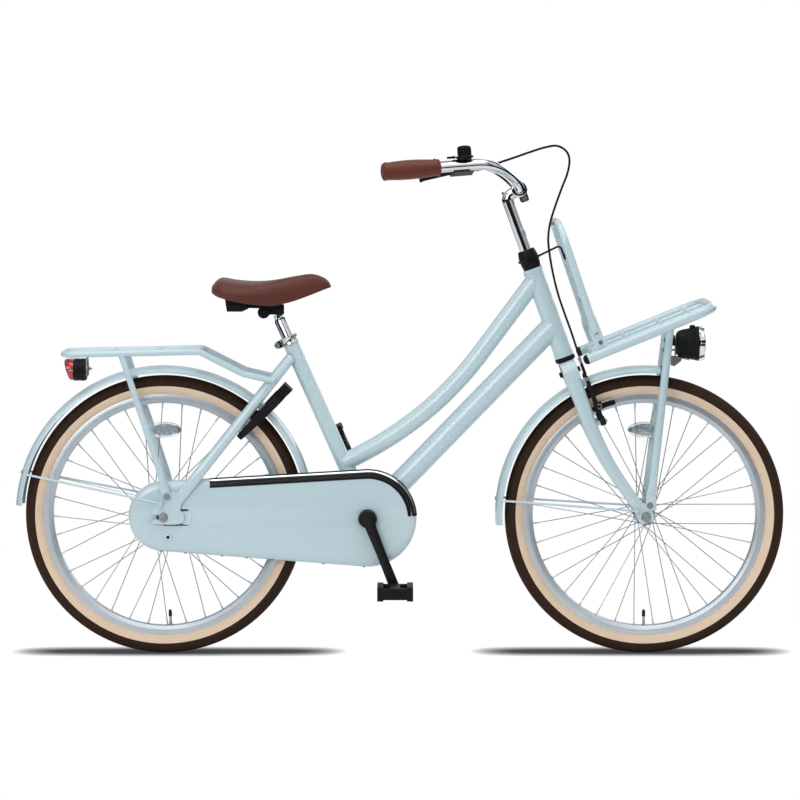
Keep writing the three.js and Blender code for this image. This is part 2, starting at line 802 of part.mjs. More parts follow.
// The rear wheel stands with a gap between two spokes where the lock's shackle goes through
const lockPhase = radians(lockAngle) % ((2 * Math.PI) / spokeCount);
const rearHubRight = caseInner - seatGap;
const rearHubLeft = brakeArmY - seatGap;
wheel(
  rearWheel,
  'rear',
  lacedHub(rearFlangeRadius, rearBarrelRadius, rearFlangePlace, -rearHubRight, rearHubLeft, lockPhase),
  spokeReflector(rearFlangeRadius, rearFlangePlace),
);
const frontConeEnd = frontHubHalf - dropoutThickness * 2;
wheel(frontWheel, 'front', lacedHub(
  frontFlangeRadius,
  frontBarrelRadius,
  frontFlangePlace,
  -frontConeEnd,
  frontConeEnd,
), spokeReflector(frontFlangeRadius, frontFlangePlace));
piece(
  frontWheel,
  'front_axle',
  axle(frontHubHalf, dropoutThickness, nutRadius * 0.9, [frontConeEnd + seatGap, frontConeEnd + seatGap]),
  steel,
);

// Mudguards: a crowned strip with turned-down edges, swept round the wheel, and a wire stay each

function guardRing(turn, grow = 0) {
  const crownShares = [[-1, 1], [-0.72, 0.3], [-0.25, 0], [0.25, 0], [0.72, 0.3], [1, 1]];
  const outward = point(Math.cos(turn), 0, Math.sin(turn));
  const outer = crownShares.map(([side, drop]) => [
    mudguardRadius + grow - mudguardSkirt * drop,
    side * (mudguardHalfWidth + grow),
  ]);
  const wall = mudguardWall + 2 * grow;
  const inner = crownShares.map(([side, drop]) => [
    mudguardRadius + grow - wall - (mudguardSkirt - wall * (Math.abs(side) === 1 ? 1 : 0)) * drop,
    side * (mudguardHalfWidth + grow - wall),
  ]);
  return [...outer, ...inner.reverse()].map(([radius, y]) => outward.clone().multiplyScalar(radius).setY(y));
}

function guardSweep(from, to, steps, grow = 0) {
  const rings = Array.from({ length: steps + 1 }, (_, i) => (
    guardRing(radians(from + ((to - from) * i) / steps), grow)));
  const outline = guardRing(0, grow).map((p) => new THREE.Vector2(p.x, p.y));
  return loft(rings, outline);
}

// A wire stay: out from an eye beside the axle, along the wheel and across under the mudguard
function stayWire(eye, turn, radius) {
  const crossing = tyreRadius + (mudguardRadius - mudguardWall - tyreRadius) / 2;
  const side = mudguardHalfWidth + stayRadius * 2.2;
  const at = (distance, y) => point(distance * Math.cos(turn), y, distance * Math.sin(turn));
  return tube(rounded([
    point(eye.x, -eye.y, eye.z),
    at(crossing, -side),
    at(crossing, side),
    point(eye.x, eye.y, eye.z),
  ], stayRadius * 2.2, 2), radius, 6);
}

const rearStayEye = point(
  -dropoutLength * 0.1,
  rearHubHalf + dropoutThickness + stayRadius + 6 * seatGap,
  dropoutLength * 0.66,
);
const rearStayTurn = radians(rearGuardTo - 13);
const frontStayTurn = radians(frontGuardTo - 10);
const frontStayEye = point(
  -nutRadius * 2.2,
  frontHubHalf + dropoutThickness + stayRadius + 4 * seatGap,
  nutRadius * 1.4,
);

function stay(eye, turn) {
  const wire = stayWire(eye, turn, stayRadius);
  const feet = [-1, 1].map((side) => crossbar(
    eye.x,
    eye.z,
    side * (eye.y - stayRadius),
    side * (eye.y + stayRadius),
    stayRadius * 2.2,
    8,
  ));
  return join(wire, ...feet);
}

piece(
  rear,
  'rear_mudguard',
  cut(
    guardSweep(rearGuardFrom, rearGuardTo, 16),
    stayWire(rearStayEye, rearStayTurn, stayRadius + seatGap),
  ),
  paint,
);
piece(rear, 'rear_mudguard_stay', stay(rearStayEye, rearStayTurn), paint);

const tipGap = THREE.MathUtils.radToDeg(seatGap / (mudguardRadius - mudguardSkirt));
piece(
  frontWheel,
  'front_mudguard',
  cut(
    guardSweep(frontGuardFrom, frontGuardTo, 11),
    stayWire(frontStayEye, frontStayTurn, stayRadius + seatGap),
  ),
  paint,
);
piece(frontWheel, 'front_mudguard_stay', stay(frontStayEye, frontStayTurn), paint);
piece(
  frontWheel,
  'front_mudguard_tip',
  guardSweep(frontGuardFrom - guardTip, frontGuardFrom - tipGap, 1, mudguardWall / 2),
  blackPlastic,
);

// Chain drive: chainring on the crank, sprocket on the hub, and the chain as one closed loop round both

const pitchRadius = (teeth) => chainPitch / (2 * Math.sin(Math.PI / teeth));

function toothed(teeth, bore, phase) {
  const shape = new THREE.Shape();
  const radius = pitchRadius(teeth);
  const places = [];
  const profile = [[0, -0.3], [0.5, 0.16]];
  for (let k = 0; k < teeth; k += 1) {
    for (const [share, height] of profile) {
      const turn = ((k + share) * 2 * Math.PI) / teeth + phase;
      const reach = radius + height * chainPitch;
      places.push(new THREE.Vector2(reach * Math.cos(turn), reach * Math.sin(turn)));
    }
  }
  shape.setFromPoints(places);
  shape.holes.push(disc(bore, 16));
  return shape;
}

const bracketPlane = new THREE.Vector2(bracket.x, bracket.z);
const axlePlane = new THREE.Vector2(0, 0);
const ringBore = crankBossRadius * 0.8;
const toothFace = [-chainLine - toothedPlate / 2, -chainLine + toothedPlate / 2];

function chainring() {
  const plate = sidePlate(toothed(chainringTeeth, ringBore + seatGap, 0), ...toothFace);
  return plate.translate(bracket.x, 0, bracket.z);
}

function sprocket() {
  const plate = sidePlate(toothed(sprocketTeeth, loose(axleRadius), 0), ...toothFace);
  const driver = ring(loose(axleRadius), rearBarrelRadius * 0.6, -driverEnd, -rearHubRight - seatGap, 12);
  return join(plate, driver);
}

// The chain: two side plates' height as a channel that is open towards the teeth
function chain() {
  const clear = chainPitch * 0.04;
  const loop = (grow) => belt(
    axlePlane,
    pitchRadius(sprocketTeeth) + grow,
    bracketPlane,
    pitchRadius(chainringTeeth) + grow,
    9,
  );
  const half = chainHeight / 2;
  const [from, to] = [-chainLine - chainWidth / 2, -chainLine + chainWidth / 2];
  const band = sidePlate(loop(half + clear), from, to);
  const inside = sidePlate(loop(-half + clear), from - overrun, to + overrun);
  const groove = sidePlate(
    loop(chainPitch * 0.34),
    toothFace[0] - seatGap * 2,
    toothFace[1] + seatGap * 2,
  );
  return cut(band, inside, groove);
}

piece(rear, 'rear_sprocket', sprocket(), steel);
piece(rear, 'chain', chain(), steel);
piece(rear, 'chainring', chainring(), steel);

// Chain case: an inner tray with openings for the hub and bracket, an outer cover notched for the dropout

const caseRear = new THREE.Vector2(0, 0);

function tray(outerFace, openFace) {
  const toOpen = Math.sign(openFace - outerFace);
  const shell = sidePlate(belt(caseRear, caseRearRadius, bracketPlane, caseFrontRadius), outerFace, openFace);
  const room = sidePlate(
    belt(caseRear, caseRearRadius - caseWall, bracketPlane, caseFrontRadius - caseWall),
    outerFace + toOpen * caseWall,
    openFace + toOpen * overrun,
  );
  return cut(shell, room);
}

const seamY = -(caseInner + caseOuter) / 2;

function innerTray() {
  const [from, to] = [-caseInner + overrun, -caseInner - overrun * 2];
  const stayRoom = chainStayRadius * 1.2 + 2 * seatGap;
  const stayEnd = bracket.x;
  return cut(
    tray(-caseInner, seamY + seatGap / 2),
    crossbar(0, 0, from, to, rearFlangeRadius + flangeThickness),
    crossbar(bracket.x, bracket.z, from, to, bottomBracketRadius + seatGap, 16),
    block(dropoutLength * 2, stayEnd, from, to, -stayRoom - bottomBracketDrop, stayRoom),
  );
}

function outerCover() {
  const [from, to] = [-caseOuter + overrun, -caseOuter - overrun];
  const tongue = dropoutLength * 0.42;
  const notchEnd = dropoutLength * 1.2;
  const [screwX, screwZ] = [dropoutLength * 0.22, -caseRearRadius * 0.58];
  const screw = crossbar(screwX, screwZ, -caseOuter, -caseOuter - rimWall, nutRadius * 1.1);
  const screwHole = crossbar(
    screwX,
    screwZ,
    -caseOuter + rimWall / 2,
    -caseOuter - overrun,
    axleRadius * 0.7,
    10,
  );
  return cut(
    join(tray(-caseOuter, seamY - seatGap / 2), screw),
    crossbar(bracket.x, bracket.z, from, to, crankBossRadius + rimWall, 16),
    block(0, notchEnd, from, to, -tongue, tongue),
    crossbar(0, 0, from, to, nutRadius * 1.6),
    screwHole,
  );
}

// A bright strip over the case's upper edge and front
function caseTrim() {
  const grow = seatGap;
  const thick = rimWall / 2;
  const shapes = [grow + thick, grow].map((extra) => (
    belt(caseRear, caseRearRadius + extra, bracketPlane, caseFrontRadius + extra)));
  const [from, to] = [-caseOuter - seatGap - thick, -caseOuter + caseTrimWidth * 0.7];
  const band = cut(
    sidePlate(shapes[0], from, to),
    sidePlate(shapes[1], -caseOuter - seatGap, to + overrun),
    sidePlate(
      belt(caseRear, caseRearRadius - caseTrimWidth, bracketPlane, caseFrontRadius - caseTrimWidth),
      from - overrun,
      to + overrun,
    ),
  );
  const keep = outlineOf([
    [dropoutLength * 2.2, 0],
    [bracket.x + caseFrontRadius * 2, 0],
    [bracket.x + caseFrontRadius * 2, caseFrontRadius * 2],
    [dropoutLength * 2.2, caseFrontRadius * 2],
  ]);
  return common(band, sidePlate(keep, from - overrun, to + overrun));
}

piece(rear, 'chain_case_inner', innerTray(), paint);
piece(rear, 'chain_case_outer', outerCover(), paint);
piece(rear, 'chain_case_trim', caseTrim(), chrome);

// Cranks: spindle, two arms and two block pedals that turn on their own pins

const rightCrank = point(Math.sin(radians(crankAngle)), 0, -Math.cos(radians(crankAngle)));
const crankOuter = crankInner + crankThickness;

function crankArm(side) {
  const direction = rightCrank.clone().multiplyScalar(-side);
  const end = direction.clone().multiplyScalar(crankLength);
  const across = point(direction.z, 0, -direction.x);
  const half = crankThickness / 2;
  const middle = side * (crankInner + half);
  const stations = [0, 0.12, 0.5, 0.88, 1].map((share) => end.clone().multiplyScalar(share).setY(middle));
  const halves = [1.1, 0.95, 0.82, 0.88, 0.9].map((share) => share * crankThickness);
  const outline = boxSectionShares.map(([x, y]) => new THREE.Vector2(x, y));
  const rings = stations.map((centre, i) => outline.map((p) => centre.clone()
    .addScaledVector(across, p.x * halves[i])
    .add(point(0, p.y * half, 0))));
  const chainringFace = chainLine - toothedPlate / 2 - rimWall;
  const bossInner = side > 0 ? bottomBracketWidth / 2 + 3 * rimWall : chainringFace;
  const boss = crossbar(0, 0, side * bossInner, side * (crankInner + half), ringBore, 16);
  const hub = crossbar(0, 0, side * crankInner, side * crankOuter, crankBossRadius, 16);
  const eye = crossbar(end.x, end.z, side * crankInner, side * crankOuter, crankThickness * 0.95);
  const pinEnd = side * (crankOuter + pedalWidth * 0.9);
  const pin = crossbar(end.x, end.z, side * crankOuter, pinEnd, axleRadius, 8);
  const room = crossbar(0, 0, 0, side * (crankOuter - 2 * rimWall), loose(spindleRadius));
  const solid = cut(join(loft(rings, outline), boss, hub, eye, pin), room);
  return solid.translate(bracket.x, 0, bracket.z);
}

// The right pedal lies level and the left one in line with the seat tube
function pedal(side) {
  const end = rightCrank.clone().multiplyScalar(-side * crankLength);
  const inner = crankOuter + rimWall;
  const outer = inner + pedalWidth;
  const cap = pedalLength * 0.17;
  const halfLength = pedalLength / 2;
  const shape = outlineOf([
    [-halfLength, -pedalRim / 2], [-halfLength + cap, -pedalRim / 2], [-halfLength + cap, -pedalHeight / 2],
    [halfLength - cap, -pedalHeight / 2], [halfLength - cap, -pedalRim / 2], [halfLength, -pedalRim / 2],
    [halfLength, pedalRim / 2], [halfLength - cap, pedalRim / 2], [halfLength - cap, pedalHeight / 2],
    [-halfLength + cap, pedalHeight / 2], [-halfLength + cap, pedalRim / 2], [-halfLength, pedalRim / 2],
  ]);
  const body = sidePlate(shape, side * inner, side * outer);
  const boreEnd = side * (outer - pedalWidth * 0.06);
  const bore = crossbar(0, 0, side * (inner - overrun), boreEnd, loose(axleRadius, 10), 10);
  const windows = [-1, 1].map((way) => block(
    way * pedalLength * 0.14,
    way * (halfLength - cap * 1.05),
    side * (inner + pedalWidth * 0.14),
    side * (outer - pedalWidth * 0.14),
    -pedalRim,
    pedalRim,
  ));
  const turn = side > 0 ? -radians(90 + seatAngle) : 0;
  return cut(body, bore, ...windows).rotateY(turn).translate(bracket.x + end.x, 0, bracket.z + end.z);
}

const spindleEnd = crankOuter - 2 * rimWall - seatGap;
piece(rear, 'crank_spindle', crossbar(bracket.x, bracket.z, -spindleEnd, spindleEnd, spindleRadius), steel);
piece(rear, 'crank_right', crankArm(-1), blackMetal);
piece(rear, 'crank_left', crankArm(1), blackMetal);
piece(rear, 'pedal_right', pedal(-1), blackPlastic);
piece(rear, 'pedal_left', pedal(1), blackPlastic);

// Kickstand, folded back along the left chain stay

function kickstand() {
  const foot = kickstandTop.clone().add(point(-kickstandLength, 0, -kickstandRadius * 3));
  const toe = foot.clone().add(point(-kickstandRadius * 3, 0, kickstandRadius));
  const leg = tube([kickstandTop, foot, toe], kickstandRadius);
  const [inner, outer] = [-1, 1].map((way) => (
    kickstandTop.clone().addScaledVector(kickstandAxis, way * kickstandRadius)));
  return join(leg, rod(inner, outer, kickstandRadius * 1.6, 12));
}

piece(rear, 'kickstand', kickstand(), blackMetal);

// Seat post, clamp and saddle, placed up the seat tube

const neckRadius = seatPostRadius * 0.8;

function seatPost() {
  const high = upSeatTube(seatTubeLength + seatPostRise);
  const low = upSeatTube(seatTubeLength + seatPostRise - seatPostLength);
  const neck = upSeatTube(seatTubeLength + seatPostRise + seatPostRadius * 0.9);
  const length = low.distanceTo(neck);
  const profile = [
    [0, 0], [seatPostRadius, 0], [seatPostRadius, low.distanceTo(high)], [neckRadius, length], [0, length],
  ];
  return turnedAlong(profile, low, seatDirection, 12);
}

piece(rear, 'seatpost', seatPost(), chrome);

const clampBand = 26;
const clampWall = 3;

function seatClamp() {
  const inner = seatTubeRadius + seatGap;
  const outer = inner + clampWall;
  const high = upSeatTube(seatTubeLength);
  const low = upSeatTube(seatTubeLength - clampBand);
  const band = rod(low, high, outer, 12);
  const middle = along(low, high, 0.5);
  const back = seatDirection.clone().cross(point(0, 1, 0)).normalize();
  const ear = middle.clone().addScaledVector(back, outer + clampWall * 2.4);
  const lug = rod(middle, ear, clampBand * 0.3, 8);
  const bolt = crossbar(ear.x, ear.z, -clampBand * 0.42, clampBand * 0.42, clampBand * 0.2, 8);
  const room = rod(
    upSeatTube(seatTubeLength - clampBand - overrun),
    upSeatTube(seatTubeLength + overrun),
    inner,
    12,
  );
  return cut(join(band, lug, bolt), room);
}

piece(rear, 'seat_clamp', seatClamp(), chrome);

const postHead = upSeatTube(seatTubeLength + seatPostRise + seatPostRadius * 0.9);
const railY = saddleWidth * 0.12;
const railRadius = 3.5;

// The clamp head: a round toothed barrel across the post with a cheek on each side of the rails
const clampHead = point(postHead.x - seatPostRadius * 2.2, 0, postHead.z + railRadius * 1.5);
const railHeight = clampHead.z + seatPostRadius;

function saddleClamp() {
  const barrel = crossbar(clampHead.x, clampHead.z, -railY * 1.25, railY * 1.25, seatPostRadius);
  const body = block(
    clampHead.x,
    postHead.x + seatPostRadius,
    -railY * 0.9,
    railY * 0.9,
    postHead.z + seatGap,
    railHeight + railRadius * 0.6,
  );
  const rails = [-1, 1].map((side) => rod(
    point(clampHead.x - seatPostRadius * 3, side * railY, railHeight),
    point(clampHead.x + seatPostRadius * 5, side * railY, railHeight),
    loose(railRadius, 6),
    6,
  ));
  return cut(join(barrel, body), ...rails, rod(
    upSeatTube(seatTubeLength),
    postHead.clone().addScaledVector(seatDirection, seatGap),
    seatPostRadius + seatGap,
    12,
  ));
}

const saddleBack = clampHead.x - saddleLength * 0.433;
const saddleX = (share) => saddleBack + saddleLength * share;
const saddleFloor = railHeight + 2 * seatGap;

// Saddle outline from back to nose: place, top, underside and half width, as shares of the saddle's sizes
const saddleShares = [
  [0, 0.66, 0.41, 0.29], [0.03, 0.8, 0.34, 0.4], [0.08, 0.88, 0.27, 0.47], [0.2, 0.81, 0.16, 0.5],
  [0.34, 0.775, 0.07, 0.47], [0.46, 0.79, 0.01, 0.36], [0.56, 0.84, 0.03, 0.25], [0.69, 0.93, 0.14, 0.17],
  [0.84, 1, 0.34, 0.135], [0.94, 0.89, 0.49, 0.1], [0.985, 0.76, 0.55, 0.06], [1, 0.66, 0.57, 0.03],
];
const saddleSection = [
  [0, 1], [0.42, 0.97], [0.74, 0.86], [0.94, 0.62], [1, 0.3], [0.93, 0], [0.8, 0.1], [0.3, 0.12],
];

function saddleCover() {
  const outline = [
    ...saddleSection,
    ...saddleSection.slice(1).reverse().map(([y, z]) => [-y, z]),
  ].map(([y, z]) => new THREE.Vector2(y, z));
  const rings = saddleShares.map(([place, top, under, half]) => outline.map((p) => point(
    saddleX(place),
    p.x * half * saddleWidth,
    saddleFloor + saddleHeight * (under + (top - under) * p.y),
  )));
  return loft(rings, outline);
}

function saddleFrame() {
  const nose = saddleX(0.88);
  const noseHeight = railHeight + saddleHeight * 0.37;
  const rails = [-1, 1].map((side) => tube(rounded([
    point(saddleX(0.08), side * saddleWidth * 0.22, railHeight + railRadius),
    point(saddleX(0.24), side * railY, railHeight),
    point(saddleX(0.64), side * railY, railHeight),
    point(saddleX(0.77), side * railY * 0.4, railHeight + saddleHeight * 0.27),
    point(nose, side * railRadius, noseHeight),
  ], railRadius * 3, 2), railRadius, 6));
  const bumper = block(
    saddleX(0.1),
    saddleX(0.27),
    -saddleWidth * 0.31,
    saddleWidth * 0.31,
    railHeight - railRadius * 2.8,
    railHeight + railRadius * 4,
  );
  const tie = crossbar(nose, noseHeight, -railRadius * 3, railRadius * 3, railRadius * 1.2, 6);
  return cut(join(...rails, bumper, tie), moved(saddleCover(), 0, 0, -seatGap));
}

piece(rear, 'saddle_clamp', saddleClamp(), blackMetal);
piece(rear, 'saddle_frame', saddleFrame(), blackPlastic);
piece(rear, 'saddle_cover', saddleCover(), brownLeather);

// Rear carrier: a looped rail on two legs, hooked to the seat stays at the front, with the lamp below its end

const rearRail = point(-dropoutLength * 4.7, rearCarrierHalf, rearCarrierHeight);
const rearRailFront = point(dropoutLength * 1.75, rearCarrierHalf, rearCarrierHeight + rearCarrierTube * 0.9);
const rearLampBack = rearRail.x + dropoutLength * 0.97;
const carrierBoltY = rearHubHalf + dropoutThickness + seatGap;

function rearCarrier() {
  const stayHold = along(seatStayTop, seatStayFoot, 0.15);
  const holdY = seatStaySpread + seatStayRadius + rearCarrierTube * 0.3;
  const bendPlace = point(dropoutLength * 3.8, rearCarrierHalf, stayHold.z + rearCarrierTube * 2.2);
  const half = [
    point(rearRail.x, 0, rearRail.z),
    rearRail,
    rearRailFront,
    bendPlace,
    point(stayHold.x + seatStayRadius * 0.2, holdY, stayHold.z),
  ];
  const leftRail = tube(rounded(half, rearCarrierTube * 3, 2), rearCarrierTube, 6);
  const deckEnds = [rearRail.x, rearRailFront.x];
  const deckZ = (share) => rearRail.z + (rearRailFront.z - rearRail.z) * share;
  const slats = [-0.36, 0.36].map((share) => rod(
    point(deckEnds[0], share * rearCarrierHalf, deckZ(0)),
    point(deckEnds[1], share * rearCarrierHalf, deckZ(1)),
    rearCarrierTube * 0.55,
    6,
  ));
  const ties = [0.36, 0.7, 1].map((share) => crossbar(
    THREE.MathUtils.lerp(deckEnds[0], deckEnds[1], share),
    deckZ(share),
    -rearCarrierHalf,
    rearCarrierHalf,
    rearCarrierTube * 0.7,
    6,
  ));
  const legs = [-1, 1].map((side) => ovalTube(
    [
      point(-dropoutLength * 1.95, side * rearCarrierHalf, rearRail.z),
      point(-dropoutLength * 0.2, side * (carrierBoltY + rearCarrierTube * 0.9), dropoutLength * 2.4),
      point(dropoutLength * 0.06, side * (carrierBoltY + rearCarrierTube * 0.45), dropoutLength * 1.4),
      point(dropoutLength * 0.2, side * (carrierBoltY + rearCarrierTube * 0.35), dropoutLength * 0.95),
    ],
    [rearCarrierTube, rearCarrierTube, rearCarrierTube * 1.3, rearCarrierTube * 1.4],
    [rearCarrierTube, rearCarrierTube * 0.85, rearCarrierTube * 0.4, rearCarrierTube * 0.35],
    6,
  ));
  const lampTab = block(
    rearLampBack + seatGap,
    rearLampBack + seatGap + rimWall * 1.5,
    -rearCarrierHalf * 0.4,
    rearCarrierHalf * 0.4,
    rearRail.z - dropoutLength * 1.1,
    rearRail.z + rearCarrierTube * 0.3,
  );
  return join(leftRail, mirrored(leftRail), ...slats, ...ties, ...legs, lampTab);
}

piece(rear, 'rear_carrier', rearCarrier(), paint);

const lampMiddle = rearRail.z - dropoutLength * 0.8;

function rearLamp() {
  const [half, high] = [rearCarrierHalf * 0.62, dropoutLength * 0.53];
  const depth = rearLampDepth;
  const bevel = depth * 0.14;
  const shape = new THREE.Shape();
  shape.absellipse(0, 0, high, half, 0, 2 * Math.PI, false, 0);
  const settings = { curveSegments: 10, steps: 1, bevelEnabled: false };
  const body = new THREE.ExtrudeGeometry(shape, { ...settings, depth: depth * 0.52 });
  const lens = new THREE.ExtrudeGeometry(shape, {
    ...settings,
    depth: depth * 0.2,
    bevelEnabled: true,
    bevelSegments: 2,
    bevelThickness: bevel,
    bevelSize: bevel,
    bevelOffset: -bevel,
  });
  const turn = (geometry, from) => geometry
    .rotateZ(Math.PI / 2)
    .rotateY(-Math.PI / 2)
    .rotateX(Math.PI / 2)
    .translate(from, 0, lampMiddle);
  return [turn(body, rearLampBack), turn(lens, rearLampBack - depth * 0.52 - bevel - seatGap)];
}

const [lampBody, lampLens] = rearLamp();
piece(rear, 'rear_lamp_housing', lampBody, blackPlastic);
piece(rear, 'rear_lamp_lens', lampLens, redLens);

// Ring lock: a horseshoe with a channel inside, round the tyre, and the shackle that slides in it
// Drawn flat with the wheel's radius upwards, then stood in its plane

function lockArc(radius, from, to, steps) {
  return Array.from({ length: steps + 1 }, (_, i) => {
    const turn = radians(from + ((to - from) * i) / steps);
    return point(0, radius * Math.sin(turn), radius * Math.cos(turn));
  });
}

function lockHousing() {
  const reach = 180 - lockMouth;
  const outline = boxSectionShares.map(([x, y]) => new THREE.Vector2(x, y));
  const rings = lockArc(lockRingRadius, -reach, reach, 12).map((centre) => {
    const outward = centre.clone().normalize();
    return outline.map((p) => centre.clone()
      .addScaledVector(outward, p.y * lockHalfBand)
      .setX(p.x * lockHalfThickness));
  });
  const body = loft(rings, outline);
  const crest = block(
    -lockHalfThickness * 0.9,
    lockHalfThickness * 0.9,
    -lockRingRadius * 0.5,
    lockRingRadius * 0.5,
    lockRingRadius * 0.86,
    lockRingRadius + lockHalfBand * 2.9,
  );
  const channel = tube(
    lockArc(lockRingRadius, reach + lockMouth * 0.5, reach - shackleArc - lockMouth * 0.4, 9),
    shackleRadius + seatGap * 2,
    6,
  );
  const socket = tube(
    lockArc(lockRingRadius, -reach - lockMouth * 0.5, -reach + lockMouth * 0.6, 3),
    shackleRadius + seatGap * 2,
    6,
  );
  const slotHalf = knobRadius + seatGap * 2;
  const margin = THREE.MathUtils.radToDeg(slotHalf / lockRingRadius);
  const corners = [[-1, 0], [1, 0], [1, 1], [-1, 1]].map(([x, y]) => new THREE.Vector2(x, y));
  const slotReach = lockHalfBand + overrun;
  const slotArc = lockArc(lockRingRadius, knobTurn - margin, knobTurn + lockTravel + margin, 6);
  const slot = loft(slotArc.map((centre) => {
    const outward = centre.clone().normalize();
    return corners.map((p) => centre.clone()
      .addScaledVector(outward, p.y * slotReach)
      .setX(p.x * slotHalf));
  }), corners);
  lock.updateMatrixWorld();
  const intoLock = lock.matrix.clone().invert();
  const stays = [-1, 1].map((side) => seatStay(side, seatGap).applyMatrix4(intoLock));
  return cut(join(body, crest), channel, socket, slot, ...stays);
}

const knobRadius = 3;
const knobTurn = 180 - lockMouth - shackleArc + lockMouth * 0.2;

function shackle() {
  const reach = 180 - lockMouth;
  const tip = reach - seatGap * 3;
  const bar = tube(lockArc(lockRingRadius, tip, tip - shackleArc, 9), shackleRadius, 6);
  const [near, far] = [lockRingRadius, lockRingRadius + lockHalfBand * 2.1]
    .map((radius) => lockArc(radius, knobTurn, knobTurn, 1)[0]);
  const [grip, gripEnd] = [lockRingRadius + lockHalfBand * 1.35, lockRingRadius + lockHalfBand * 2.2]
    .map((radius) => lockArc(radius, knobTurn, knobTurn, 1)[0]);
  return join(bar, rod(near, far, knobRadius, 6), rod(grip, gripEnd, knobRadius * 2.6));
}

// The lock's own plane: local Z along the wheel's radius, local Y to the left, where the knob is
const lock = new THREE.Group();
lock.position.set(
  lockCentre * Math.cos(radians(lockAngle)),
  0,
  lockCentre * Math.sin(radians(lockAngle)),
);
const lockTurn = new THREE.Matrix4().makeBasis(
  point(Math.sin(radians(lockAngle)), 0, -Math.cos(radians(lockAngle))),
  point(0, 1, 0),
  point(Math.cos(radians(lockAngle)), 0, Math.sin(radians(lockAngle))),
);
lock.quaternion.setFromRotationMatrix(lockTurn);
rear.add(lock);
piece(lock, 'ring_lock_housing', lockHousing(), blackPlastic);
piece(lock, 'ring_lock_shackle', shackle(), steel);

// Steering assembly, in its own frame: X forwards square to the steering axis, Z up the axis

function fork() {
  const crownTop = ringLow - seatGap;
  const crownLow = crownTop - crownHeight;
  const half = crownWidth / 2;
  const shoulder = crownHeight * 0.62;
  const innerHalf = bladeSpread - bladeWidth;
  const arch = new THREE.Shape();
  arch.moveTo(-half, crownLow);
  arch.lineTo(-half, crownTop - shoulder);
  arch.quadraticCurveTo(-half, crownTop, -half + shoulder, crownTop);
  arch.lineTo(half - shoulder, crownTop);
  arch.quadraticCurveTo(half, crownTop, half, crownTop - shoulder);
  arch.lineTo(half, crownLow);
  arch.lineTo(innerHalf, crownLow);
  arch.quadraticCurveTo(innerHalf, crownLow + rimWell, innerHalf - rimWell, crownLow + rimWell);
  arch.lineTo(-innerHalf + rimWell, crownLow + rimWell);
  arch.quadraticCurveTo(-innerHalf, crownLow + rimWell, -innerHalf, crownLow);
  const bevel = crownDepth * 0.2;
  const crown = new THREE.ExtrudeGeometry(arch, {
    depth: crownDepth - 2 * bevel,
    bevelEnabled: true,
    bevelSegments: 1,
    bevelThickness: bevel,
    bevelSize: bevel * 0.6,
    bevelOffset: -bevel * 0.6,
    curveSegments: 3,
  });
  crown.translate(0, 0, bevel - crownDepth / 2).rotateX(Math.PI / 2).rotateZ(Math.PI / 2);
  const steerer = rod(point(0, 0, crownLow + crownHeight * 0.5), point(0, 0, steererTop), steererRadius, 12);
  const blades = [-1, 1].map(blade);
  const ends = [-1, 1].map(forkEnd);
  const studs = [-1, 1].map((side) => rod(
    point(0, side * brakePivot.y, brakePivot.z),
    point(brakePivot.x + brakeArmDepth / 2 + rimWall, side * brakePivot.y, brakePivot.z),
    axleRadius,
    10,
  ));
  const bolt = rod(
    point(-crownDepth / 2 - rimWall * 2, 0, crownTop - crownHeight * 0.62),
    point(crownDepth / 2 + rimWall * 2, 0, crownTop - crownHeight * 0.62),
    axleRadius,
    8,
  );
  const quillRoom = rod(point(0, 0, stemLow - overrun), point(0, 0, steererTop + overrun), steererBore, 12);
  return cut(join(crown, steerer, ...blades, ...ends, ...studs, bolt), quillRoom);
}

const stemLow = steererTop - stemRadius * 7;
const brakeArmDepth = 11;
const brakeArmLength = 108;
const brakePivot = point(
  bladeDepth + brakeArmDepth,
  bladeSpread - bladeWidth * 0.35,
  rimRadius - rimDepth - bladeDepth - forkRake * 0.02,
);

function blade(side) {
  const top = ringLow - crownHeight * 0.7;
  const outerEnd = frontHubHalf + dropoutThickness / 2;
  const shares = [
    [0, 0, 1], [0, 0.02, 0.8], [0.03, 0.08, 0.6], [0.2, 0.25, 0.4], [0.55, 0.6, 0.2], [0.9, 1, 0.05],
  ];
  const stations = shares.map(([ahead, spread, up]) => point(
    forkRake * ahead,
    side * (bladeSpread + (outerEnd - bladeSpread) * spread),
    top * up,
  ));
  const depths = shrinking(bladeDepth, 0.7, shares.length);
  const widths = [1, 1, 1, 0.85, 0.65, 0.26].map((share) => bladeWidth * share);
  return ovalTube(stations, depths, widths);
}

function forkEnd(side) {
  const inner = side * frontHubHalf;
  const outer = side * (frontHubHalf + dropoutThickness);
  const size = nutRadius * 1.7;
  const shape = outlineOf([
    [-1, -0.9], [1, -0.9], [1.15, 0], [1.1, 1.3], [0.4, 1.9], [-0.9, 1.9], [-1.3, 0.6],
  ].map(([x, z]) => [forkRake + x * size, z * size]));
  const plate = sidePlate(shape, inner, outer);
  const slotHalf = loose(axleRadius);
  const [from, to] = [inner - side * overrun, outer + side * overrun];
  return cut(
    plate,
    crossbar(forkRake, 0, from, to, slotHalf),
    block(forkRake - slotHalf, forkRake + slotHalf, from, to, -size * 2, 0),
  );
}

piece(steering, 'fork', fork(), paint);

function headsetCap() {
  const bore = loose(steererRadius);
  const high = capLow + headsetCapHeight;
  const lip = loose(stemRadius);
  const profile = [
    [bore, capLow], [headsetCapRadius * 0.92, capLow], [headsetCapRadius, capLow + headsetCapHeight * 0.25],
    [headsetCapRadius * 1.04, capLow + headsetCapHeight * 0.55], [headsetCapRadius * 0.86, high],
    [lip, high], [lip, steererTop + seatGap], [bore, steererTop + seatGap],
  ];
  return closed(turned([...profile, profile[0]], 16).rotateX(Math.PI / 2));
}

